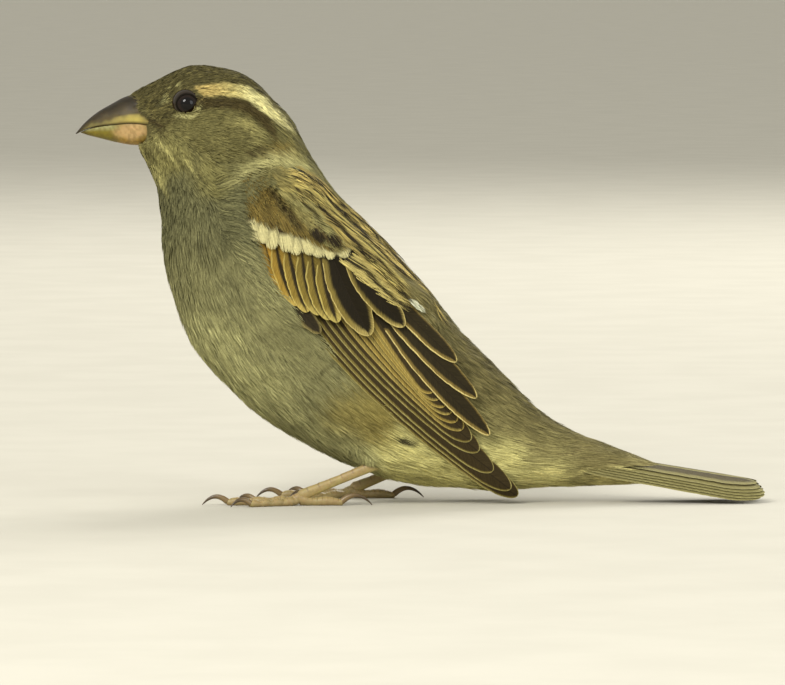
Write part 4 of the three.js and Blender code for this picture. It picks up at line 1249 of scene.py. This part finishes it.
def make_shoulder():
    """The small coverts: rows of soft feathers over a row with white ends."""
    rng = np.random.default_rng(43)
    coat = Coat(rng)
    small = dict(form=WING_FORM, over_wing=False, taper=0.7)
    whites = 9
    u = (np.arange(whites) + 0.5) / whites
    tips = along_line(BAR_TIPS, u) + rng.normal(0, 0.8, (whites, 2))
    ways = np.tile([0.24, 0.97], (whites, 1)) + rng.normal(0, 0.05, (whites, 2))
    length = np.interp(u, [0, 0.6, 1], [5.8, 5.4, 4.0])
    sow(coat, tips, ways, length=length, width=2.6, root=0.5, rise=0.3, base=2.75, barbs=52, steps=7,
        half=0.08, shade=bar_shade, rough=0.015, strands=0.06, spread=0.85, ragged=0.012, blunt=1.7, **small)
    for row in range(10):
        count = 15 if row < 8 else 12
        u = np.clip((np.arange(count) + 0.5 * (row % 2) + rng.uniform(-0.2, 0.2, count)) / count, 0, 1)
        low, high = along_line(BAR_TOP, u), along_line(SHOULDER_TOP, u)
        tips = low + (high - low) * (row / 10) + rng.normal(0, 0.9, (count, 2))
        fall = (low - high) / np.maximum(np.linalg.norm(low - high, axis=1, keepdims=True), 1)
        ways = fall * 0.5 + [0.26, 0.43] + rng.normal(0, 0.08, (count, 2))
        sow(coat, tips, ways, length=rng.uniform(3.4, 4.4, count) * (1 - 0.055 * row), width=2.5,
            root=0.55 + 0.16 * row, rise=0.2, base=2.95 - 0.02 * row, barbs=15, shade=shoulder_shade,
            rough=0.07, strands=0.2, **small)
    coat.pieces("shoulder", nodes=["left_wing_shoulder", "right_wing_shoulder"], slot="plumage_wing")


def make_wings():
    flight, inner, coverts = wing(np.random.default_rng(21))
    groups = ((flight, "flight", "primaries", "secondaries"), (inner, "tertial", "tertials"),
              (coverts, "covert", "greater_coverts"))
    for word, flip in (("right", False), ("left", True)):
        for vanes, name, *parts in groups:
            nodes = [f"{word}_wing_{part}" for part in parts]
            vanes.piece(f"{name}_feathers_{word}", flip, nodes=nodes, slot="plumage_wing")


make_wings()
make_shoulder()


# ---------------------------------------------------------------- scapulars and mantle
def streak_shade(dark, buff, cover):
    """Feathers with a dark centre of half width cover, as a share of the feather's, between buff margins."""

    def shade(points, c, t, feather, home):
        middle = smooth(cover + 0.14, cover - 0.1, np.abs(c + 0.1) + 0.16 * smooth(0.75, 1, t))[..., None]
        colour = srgb(*buff) * (1 - middle) + srgb(*dark) * middle
        across, _ = view_of(points[:, :, -1:])
        colour = blended(colour, srgb(136, 128, 82), 0.8 * smooth(308, 288, across))
        return colour * fade_in(t, 0.62, 0.42, 0.6) * varied(feather, 0.3)

    return shade


# Rows of the scapulars from the lowest up: the line of their tips, dark and buff colours, the dark's cover.
SCAPULARS = [
    ([(292, 196), (302, 206), (312, 219), (322, 232), (333, 241), (344, 249)],
     (54, 46, 26), (146, 141, 96), 0.24),
    ([(363, 268), (368, 272), (374, 277), (381, 283), (396, 294), (411, 302)],
     (44, 37, 21), (182, 168, 108), 0.3),
    ([(296, 190), (312, 203), (328, 219), (345, 236), (362, 252), (384, 271), (404, 289), (416, 299)],
     (40, 33, 19), (164, 148, 90), 0.36),
    ([(294, 184), (312, 195), (330, 210), (350, 228), (370, 248), (390, 269), (410, 288)],
     (46, 38, 22), (184, 170, 106), 0.26),
    ([(292, 179), (312, 188), (330, 202), (352, 221), (373, 242), (394, 263), (414, 285)],
     (32, 27, 17), (144, 128, 76), 0.52),
    ([(298, 178), (318, 187), (338, 202), (358, 221), (378, 242), (398, 262), (418, 283)],
     (50, 41, 24), (206, 186, 116), 0.2),
    ([(308, 177), (326, 189), (344, 204), (364, 223), (384, 244), (404, 265), (424, 286)],
     (30, 25, 16), (154, 138, 84), 0.5),
]
CREAM_ROW = 1  # the tidy row with the cream lower edge
# Lines of mantle feathers: angle from the back's middle, first and last station, colours, the dark's cover.
MANTLE = [(0.34, 6.6, 9.5, (44, 36, 22), (196, 177, 110), 0.3),
          (0.2, 6.6, 9.1, (34, 28, 18), (152, 136, 84), 0.5),
          (0.06, 6.7, 8.8, (44, 36, 22), (182, 164, 102), 0.36)]


def scapulars(coat, rng, count=19):
    for row, (line, *colours) in enumerate(SCAPULARS):
        tidy = row == CREAM_ROW
        u = np.arange(count) + 0.5 * (row % 2) + rng.uniform(-0.15, 0.15, count)
        u = np.clip(u / (count - 0.5), 0, 1)
        ways = unit(along_line(line, np.clip(u + 0.04, 0, 1)) - along_line(line, np.clip(u - 0.04, 0, 1)))
        ways = ways + rng.normal(0, 0.045, (count, 2)) * (0.3 if tidy else 1)
        ways = ways + (not tidy) * (1 - u)[:, None] * [-0.1, 0.12]
        length = 7.0 if tidy else np.interp(u, [0, 0.25, 1], [3.4, 6.5, 8.5])
        sow(coat, along_line(line, u), ways, length=length, width=2.7, root=0.8, rise=0.15,
            base=0.5 + 0.04 * row - 0.25 * (row > 3), barbs=19, steps=5, shade=streak_shade(*colours),
            rough=0.02 if tidy else 0.05, strands=0.16, ragged=0.03 if tidy else 0.07)


def scapular_tips(coat):
    """The white tuft at the scapulars' end, and the lesser coverts' dark ends over the end of the bar."""
    short = dict(root=0.5, barbs=23, half=0.08, strands=0.12)
    tuft, tuft_ways = np.array([(421, 311), (419, 306)]), np.array([(0.5, 0.86), (0.6, 0.8)])
    sow(coat, tuft, tuft_ways, length=2.4, width=1.3, rise=0.3, base=0.75, rough=0.08,
        shade=streak_shade((184, 186, 166), (200, 202, 184), 0.1), **short)
    ends = np.array([(318, 241), (323, 245), (334, 248), (339, 251)])
    sow(coat, ends, np.tile([0.3, 0.95], (4, 1)), length=3.0, width=1.9, rise=0.25, base=0.8,
        shade=streak_shade((40, 33, 19), (84, 72, 42), 0.7), **short)


def make_mantle():
    rng = np.random.default_rng(33)
    coat = Coat(rng)
    scapulars(coat, rng)
    scapular_tips(coat)
    for (angle, start, end, *colours), sign in itertools.product(MANTLE, (-1, 1)):
        s = np.arange(start, end, 0.25)
        s = s + rng.normal(0, 0.03, len(s))
        th = sign * (angle + rng.normal(0, 0.01, len(s)))
        coat.grow(s, th, length=rng.uniform(6.4, 9.0, len(s)), width=2.6, root=0.9, rise=0.05, base=0.3,
                  heading=sign * 0.04 + rng.normal(0, 0.045, len(s)), barbs=19, steps=5, rough=0.05,
                  strands=0.16, shade=streak_shade(*colours))
    coat.pieces("mantle")


make_mantle()

# ---------------------------------------------------------------- tail
TAIL_ROOT, TAIL_DROP, TAIL_ROLL = (38.2, 9.7), math.radians(9.3), math.radians(8)
TAIL_LENGTHS = [41.0, 41.6, 42.2, 42.6, 42.6, 42.0]
TAIL_WIDTH, TAIL_STEP, TAIL_CURVE = 5.4, 0.36, 0.035
TAIL = dict(centre=(80, 72, 48), edge=(132, 126, 86), rim=(160, 154, 112), fringe=(0.9, 0.9), soft=0.4,
            level=True, rim_width=0.12, camber=0.12, blunt=0.16, pointed=1.7, rows=46, columns=15,
            root_shade=0.95, wavy=0.05)


def tail_surface(sign, level):
    """The plane of one tail feather: along the tail and across it, rolled down to its side, level mm up."""
    drop, run = math.sin(TAIL_DROP), math.cos(TAIL_DROP)

    def surface(x, y):
        bow = -TAIL_CURVE * y**2 - np.abs(y) * math.tan(TAIL_ROLL) + level
        px = TAIL_ROOT[0] + x * run + bow * drop
        pz = TAIL_ROOT[1] - x * drop + bow * run + 0.25
        normal = np.stack([np.full(x.shape, drop), sign * np.full(x.shape, 0.14), np.full(x.shape, run)], -1)
        return np.stack([px, y, np.maximum(pz, 0.1)], -1), normal

    return surface


def make_tail():
    rng = np.random.default_rng(5)
    tail = Vanes()
    for sign, (pair, length) in itertools.product((-1, 1), enumerate(TAIL_LENGTHS)):
        surface = tail_surface(sign, (2.5 - pair) * 0.3 + 0.1 * (sign > 0))
        middle = sign * (0.1 + pair * TAIL_STEP + TAIL_WIDTH / 2 - (1.1 if pair == 0 else 0.4))
        tail.add(surface, (-1.0, middle * 0.7), (length + 0.3, middle), TAIL_WIDTH, seed=rng.random(), **TAIL)
    nodes = [f"{word}_tail_feather_{k}" for word in ("left", "right") for k in range(1, 7)]
    tail.piece("tail_feathers", nodes=nodes, slot="plumage_tail")


make_tail()

# ---------------------------------------------------------------- bill
# Lines of the closed bill as x and z, from its tip to under the feathers, and its half width there.
RIDGE = np.array([(-47.0, 68.15), (-45.4, 70.05), (-43.1, 72.0), (-40.4, 73.6), (-37.4, 75.1), (-31.5, 76.2)])
MOUTH = np.array([(-46.8, 68.1), (-45.2, 68.95), (-42.9, 69.6), (-40.0, 69.95), (-36.3, 70.2), (-31.0, 69.6)])
LOWER = np.array([(-46.1, 68.42), (-44.9, 68.86), (-42.7, 69.38), (-39.9, 69.74), (-36.2, 70.0),
                  (-31.0, 69.3)])
KEEL = np.array([(-46.0, 68.32), (-44.6, 67.85), (-42.4, 67.3), (-39.6, 66.6), (-36.3, 66.05), (-31.5, 66.2)])
BILL_HALF = np.array([(0.12, 0), (1.2, 0), (2.3, 0), (3.15, 0), (3.9, 0), (4.4, 0)])
LOWER_WIDTH = 0.94  # the lower half's width as a share of the upper's


def upper_horn(a, d, share, mottle, dip):
    """Dark along the ridge, olive below it, and yellow behind the nostril."""
    back = smooth(96, 132, a)[..., None]
    colour = srgb(108, 100, 60) * (1 - back) + srgb(156, 142, 80) * back
    yellow = smooth(12, 5, np.hypot((a - 134) / 1.3, (d - 118) * 2.2))
    for shade, amount in (
            ((72, 62, 38), smooth(0.14, 0.4, share + 0.3 * mottle)),
            ((38, 32, 21), smooth(0.4, 0.75, share + 0.25 * mottle)), ((184, 168, 90), 0.7 * yellow),
            # painted shade: the nostril's shallow dip is coloured near black
            ((46, 40, 28), smooth(92, 78, a)), ((20, 15, 10), dip),
            ((60, 50, 26), smooth(0.07, 0.0, share) * 0.85)):
        colour = blended(colour, srgb(*shade), amount)
    return colour


def lower_horn(a, d, share, mottle, points):
    """Olive yellow with a pink base and darker wear."""
    colour = np.broadcast_to(srgb(124, 112, 40), points.shape)
    pink = smooth(1.3, 0.45, np.hypot((a - 133) / 18, (d - 131) / 11) + 0.5 * mottle)
    wear = smooth(0.3, 0.1, np.abs(noise(points, 0.5, 14) - 0.3))
    for shade, amount in (
            ((192, 160, 116), pink), ((150, 148, 102), smooth(0.4, 0.12, share) * smooth(122, 112, a)),
            ((176, 138, 62), smooth(0.55, 0.9, share + 0.2 * mottle) * smooth(112, 126, a) * 0.8),
            ((92, 78, 34), wear * 0.35), ((78, 68, 34), smooth(94, 84, a) * 0.7)):
        colour = blended(colour, srgb(*shade), amount)
    return colour


def bill_half(upper):
    """A mandible as a fine closed loft, with its horn colours."""
    t = 5 * np.linspace(0, 1, 110) ** 1.2
    phi = np.linspace(-math.pi, math.pi, 73)[:-1]
    flat = through(MOUTH if upper else LOWER, t)
    dome = through(RIDGE if upper else KEEL, t)
    half = through(BILL_HALF, t)[:, 0] * (1.0 if upper else LOWER_WIDTH)
    rise = dome - flat
    high, across = np.cos(phi)[None], np.sin(phi)[None]
    lift = np.where(high > 0, np.abs(high) ** (0.95 if upper else 0.8), high * 0.06)
    x = flat[:, :1] + rise[:, :1] * lift
    z = flat[:, 1:] + rise[:, 1:] * lift
    points = np.stack([x, half[:, None] * np.sign(across) * np.abs(across) ** 0.85, z], -1)
    share = np.clip(lift, 0, 1) + 0 * x
    a, d = side(x, z)
    mottle = noise(points, 0.9, 4) - 0.5
    if not upper:
        return points, lower_horn(a, d, share, mottle, points)
    dip = smooth(1.2, 0.3, np.hypot((a - 137) / 2.6, (d - 106) / 1.3))  # the nostril
    points[..., 1] -= np.sign(points[..., 1]) * 0.25 * dip
    return points, upper_horn(a, d, share, mottle, dip)


def make_bill():
    for word in ("upper", "lower"):
        points, quads, caps, uv, colours = loft(*bill_half(word == "upper"))
        add_piece(f"bill_{word}_horn", points, [quads, caps], HORN, uv=uv, attributes={"Col": colours},
                  nodes=[f"bill_{word}"], slot="horn")


make_bill()

# ---------------------------------------------------------------- eyes
BALL, CORNEA = 2.8, 0.16  # the eyeball's radius and how far the cornea stands out of it
# The lid's section: angle beyond the opening's edge, height over the ball and shade, a painted shade that is
# darkest where the lid tucks against the ball and lightest on its crest.
LID = [(-0.05, 0.0, 0.4), (-0.02, 0.05, 0.5), (0.01, 0.08, 0.8), (0.04, 0.07, 1.0), (0.08, 0.02, 0.8),
       (0.13, -0.06, 0.7), (0.2, -0.2, 0.8), (0.3, -0.5, 0.8)]
LID_COLUMNS = 120


def make_eye(word, sign):
    """The eyeball faces outwards and a little forwards, with a lid round it."""
    centre = np.array([EYE[0], sign * EYE_Y, EYE[1]])
    look = np.array([0.05, sign * 0.99, 0.02])
    look /= np.linalg.norm(look)
    right = np.cross([0, 0, 1], look)
    right /= np.linalg.norm(right)
    up = np.cross(look, right)

    def on_ball(angle, around, r):
        reach = np.sin(angle)
        ray = (np.cos(angle)[..., None] * look + (reach * np.cos(around))[..., None] * right
               + (reach * np.sin(around))[..., None] * up)
        return centre + ray * np.asarray(r)[..., None]

    rows, columns = 48, 64
    angle, around = np.meshgrid(np.linspace(0.0, math.pi, rows)[1:-1],
                                np.linspace(0, 2 * math.pi, columns + 1)[:-1], indexing="ij")
    ball = on_ball(angle, around, BALL + CORNEA * smooth(0.62, 0.2, angle))
    pupil, iris, white = srgb(7, 5, 4), srgb(24, 14, 8), srgb(40, 32, 22)
    iris = iris * (0.7 + 0.6 * noise(ball * 3, 0.5, 2))[..., None]
    colour = np.where((angle < 0.42)[..., None], pupil, np.where((angle < 0.86)[..., None], iris, white))
    ends = [centre + look * (BALL + CORNEA), centre - look * BALL]
    points, quads, caps, uv, colours = loft(ball, colour, ends, along=(0.05, 0.95))
    add_piece(f"eyeball_{word}", points, [quads, caps], EYEBALL, uv=uv, nodes=[f"{word}_eye"], slot="eye",
              attributes={"Col": colours})

    # lid: a soft rim round the opening, a little wider than high and drawn out at the corners
    around = np.linspace(0, 2 * math.pi, LID_COLUMNS + 1)[:-1]
    opening = 0.69 + 0.02 * np.cos(2 * around) + 0.04 * np.abs(np.cos(around)) ** 10
    wave = 0.012 * np.sin(around * 40)
    grid = np.stack([on_ball(opening + out, around, 2.83 + high + wave * (0 < out < 0.1)) for out, high, _ in LID])
    # painted shade across the lid, from the section's shade column
    shade = np.array([row[2] for row in LID])[:, None, None]
    lid = srgb(25, 21, 15) * shade * (0.75 + 0.5 * noise(grid, 0.4, 6))[..., None]
    uv = uv_grid(len(LID), LID_COLUMNS, around=(0.01, 0.99))
    add_piece(f"eyelid_{word}", grid, [grid_faces(len(LID), LID_COLUMNS, closed=True)], LID_SKIN, uv=uv,
              attributes={"Col": lid.reshape(-1, 3)}, slot="plumage_head")


make_eye("left", -1)
make_eye("right", 1)

# ---------------------------------------------------------------- legs
HEEL, FOOT, STRIDE = np.array([10.9, -9.2, 8.5]), np.array([-5.6, -10.0, 1.75]), 9.6
# Toes: name, degrees from straight ahead, length, radius, claw's length and joints.
TOES = [("middle", 2, 13.6, 0.95, 4.8, 3), ("inner", 27, 9.6, 0.85, 4.2, 2),
        ("outer", -24, 10.2, 0.85, 4.0, 4), ("hind", 178, 8.2, 1.0, 5.8, 1)]
SHANK_PLATES = 9
LEG_TAN, LEG_PINK, LEG_DARK = srgb(158, 144, 98), srgb(164, 132, 96), srgb(92, 74, 42)


def tube(centres, radii, columns, shape):
    """A tube. shape(t, angle) scales its radius; angle 0 is across to the left and a quarter turn is up."""
    ahead = np.gradient(centres, axis=0)
    ahead /= np.linalg.norm(ahead, axis=1, keepdims=True)
    across = np.cross([0.0, 0.0, 1.0], ahead)
    across /= np.linalg.norm(across, axis=1, keepdims=True)
    over = np.cross(ahead, across)
    turns = np.linspace(0, 2 * math.pi, columns + 1)[:-1]
    tt, aa = np.meshgrid(np.linspace(0, 1, len(centres)), turns, indexing="ij")
    r = radii[:, None] * shape(tt, aa)
    points = centres[:, None] + across[:, None] * (r * np.cos(aa))[..., None]
    return points + over[:, None] * (r * np.sin(aa))[..., None], tt, aa


def gather(parts):
    """Joins capped tubes into points, faces, uv and colours."""
    made, base = [], 0
    for number, (grid, colour) in enumerate(parts):
        made.append(loft(grid, colour, first=base, around=(0.05, 0.95)))
        points, _, _, uv, _ = made[-1]
        uv[:, 1] = (number + uv[:, 1]) / len(parts)
        base += len(points)
    points, quads, caps, uv, colours = (np.concatenate(group) for group in zip(*made))
    return points, [quads, caps], uv, colours


def plates(tt, count):
    """A row of overlapping plates along t: each rises to its lower end and steps down to the next."""
    phase = (tt * count) % 1.0
    return phase - smooth(0.86, 1.0, phase) * phase, smooth(0.8, 0.97, phase)


def shank(heel, foot):
    """The tarsus, with plates down its front."""
    t = np.linspace(0, 1, 130)
    centres = heel + (foot - heel) * (t * 1.13 - 0.10)[:, None]
    radii = np.interp(t, [0, 0.12, 0.3, 0.6, 0.85, 1.0], [1.25, 1.1, 0.86, 0.78, 0.9, 1.1])
    radii = radii * np.sqrt(np.clip((1.0 - t) / 0.06, 0.04, 1))
    centres[:, 2] = np.maximum(centres[:, 2], radii + 0.1)

    def shape(tt, aa):
        lift = plates(tt, SHANK_PLATES)[0] * smooth(-0.2, 0.5, np.sin(aa))
        keel = 1 + 0.12 * np.exp(-(((np.sin(aa) + 1) / 0.3) ** 2))
        return (1 + 0.075 * lift) * keel * (1 - 0.12 * np.abs(np.cos(aa)) ** 2)

    grid, tt, aa = tube(centres, radii, 28, shape)
    seam = plates(tt, SHANK_PLATES)[1] * smooth(-0.2, 0.5, np.sin(aa))
    colour = blended(np.broadcast_to(LEG_TAN, grid.shape), LEG_DARK, 0.75 * seam)
    colour = blended(colour, srgb(178, 168, 98), 0.6 * smooth(-0.3, -0.9, np.sin(aa)))
    return grid, blended(colour, LEG_PINK, 0.5 * noise(grid, 1.5, 7))


def toe(foot, way, length, radius, joints):
    """A toe on the floor, with plates on top and swellings at its joints."""
    t = np.linspace(0, 1, 90)
    bulge = 0.10 * np.cos(2 * math.pi * (joints + 0.5) * t) * (t > 0.1)
    girth = radius * (1 - 0.30 * t + bulge)
    centres = foot * [1, 1, 0] + way * (-0.4 + (length + 0.35) * t)[:, None]
    centres[:, 2] = girth * 0.84 + (FOOT[2] - radius) * np.clip(1 - 4 * t, 0, 1) ** 2
    count = int(length * 1.1)

    def shape(tt, aa):
        lift = plates(tt, count)[0] * smooth(0.1, 0.6, np.sin(aa))
        pad = smooth(-0.3, -0.9, np.sin(aa)) * (0.05 * np.sin(tt * count * 2 * math.pi))
        return 1 + 0.08 * lift + pad

    grid, tt, aa = tube(centres, girth * np.sqrt(np.clip((1.0 - t) / 0.035, 0.08, 1)), 22, shape)
    grid[..., 2] = np.maximum(grid[..., 2], 0.0)
    seam = plates(tt, count)[1] * smooth(0.1, 0.6, np.sin(aa))
    colour = blended(np.broadcast_to(LEG_TAN, grid.shape), LEG_DARK, 0.7 * seam)
    colour = blended(colour, LEG_PINK, 0.5 * noise(grid, 1.2, 9))
    # painted shade: each toe lighter on top and darker on its underside
    return grid, colour * (0.86 + 0.14 * np.sin(aa))[..., None]


def claw(foot, way, start, length):
    """A claw that arches from the toe's end down to the floor."""
    t = np.linspace(0, 1, 48)
    root, tip = 0.66, 0.1
    centres = foot * [1, 1, 0] + way * (start + length * 0.96 * t)[:, None]
    centres[:, 2] = root + length * t * (1 - t) - (root - tip) * t

    def shape(tt, aa):
        return 1 - 0.22 * np.abs(np.cos(aa)) ** 2 - 0.16 * smooth(-0.6, -1.0, np.sin(aa)) * (1 - tt)

    grid, tt, _ = tube(centres, 0.60 * (1 - t) ** 0.75 + 0.05, 18, shape)
    grid[..., 2] = np.maximum(grid[..., 2], 0.0)
    colour = np.broadcast_to(srgb(118, 98, 66), grid.shape)
    return grid, blended(colour, srgb(62, 50, 34), smooth(0.1, 0.8, tt))


def make_leg(word, mirrored, ahead):
    """One leg, ahead mm further back than the near one. Both are made on the left."""
    heel, foot = HEEL + [ahead, 0, 0], FOOT + [ahead, 0, 0]
    skin, horn = [shank(heel, foot)], []
    for _, degrees, length, radius, nail, joints in TOES:
        angle = math.radians(degrees)
        way = np.array([-math.cos(angle), math.sin(angle), 0])
        skin.append(toe(foot, way, length, radius, joints))
        horn.append(claw(foot, way, length - 0.35, nail))
    names = [row[0] for row in TOES]
    for parts, name, material, slot, stems in (
            (skin, "leg_skin", LEG_SKIN, "leg", ["tarsus"] + [f"toe_{n}" for n in names]),
            (horn, "claws", CLAW_HORN, "claw", [f"claw_{n}" for n in names])):
        points, faces, uv, colours = gather(parts)
        points, faces = mirror(points, faces, mirrored)
        add_piece(f"{name}_{word}", points, faces, material, uv=uv, attributes={"Col": colours},
                  nodes=[f"{word}_{stem}" for stem in stems], slot=slot)


make_leg("left", False, 0.0)
make_leg("right", True, STRIDE)


# ---------------------------------------------------------------- stage
def link(name, data):
    made = bpy.data.objects.new(name, data)
    bpy.context.scene.collection.objects.link(made)
    return made


def aimed(made, location, direction):
    """Puts a light or the camera at a place, looking along a direction."""
    made.location = location
    made.rotation_mode = "QUATERNION"
    made.rotation_quaternion = direction.to_track_quat("-Z", "Y")


def softbox(name, location, size, power, colour):
    light = bpy.data.lights.new(name, "AREA")
    light.shape, light.size, light.energy, light.color = "DISK", size, power, colour
    aimed(link(name, light), location, Vector((0, 0, 0.04)) - Vector(location))


def make_stage():
    floor = Nodes("Floor")
    grain = floor.ramp(floor.noise(40, 4), 0.3, 0.7)
    pale = floor.mix(grain, srgb(184, 180, 166), srgb(188, 184, 170))
    floor.set(Base_Color=pale, Roughness=0.9, Specular_IOR_Level=0.15)
    mesh = bpy.data.meshes.new("floor")
    mesh.from_pydata([(-30, -30, 0), (30, -30, 0), (30, 30, 0), (-30, 30, 0)], [], [(0, 1, 2, 3)])
    mesh.materials.append(floor.material)
    link("floor", mesh)

    world = bpy.data.worlds.new("Studio")
    world.use_nodes = True
    colour, strength = world.node_tree.nodes["Background"].inputs[:2]
    colour.default_value, strength.default_value = (0.94, 0.93, 0.88, 1), 0.84
    bpy.context.scene.world = world
    softbox("Key", (-0.7, -1.25, 0.95), 0.8, 30, (1.0, 0.985, 0.95))
    softbox("Fill", (1.2, -1.1, 0.45), 1.2, 11, (0.95, 0.98, 1.0))
    softbox("Back", (0.5, 1.2, 1.0), 0.9, 16, (1.0, 0.985, 0.96))


def make_camera():
    """A camera at the photograph's angle, whose picture is the side view, 785 by 685 units."""
    width, height, distance, sensor = 785, 685, 1.5, 36
    camera = bpy.data.cameras.new("Camera")
    camera.sensor_width = sensor
    camera.lens = sensor * distance / (width * VIEW * MM)
    camera.clip_start, camera.clip_end = 0.05, 60
    x, z = place(width / 2, height / 2)
    back = Vector((0, -math.cos(CAMERA_RISE), math.sin(CAMERA_RISE)))
    eye = link("Camera", camera)
    aimed(eye, Vector(to_row([x, 0, z])) + back * distance, -back)
    bpy.context.scene.camera = eye


make_stage()
make_camera()
bpy.context.scene.view_settings.view_transform = "Standard"
bpy.context.scene.view_settings.look = "None"
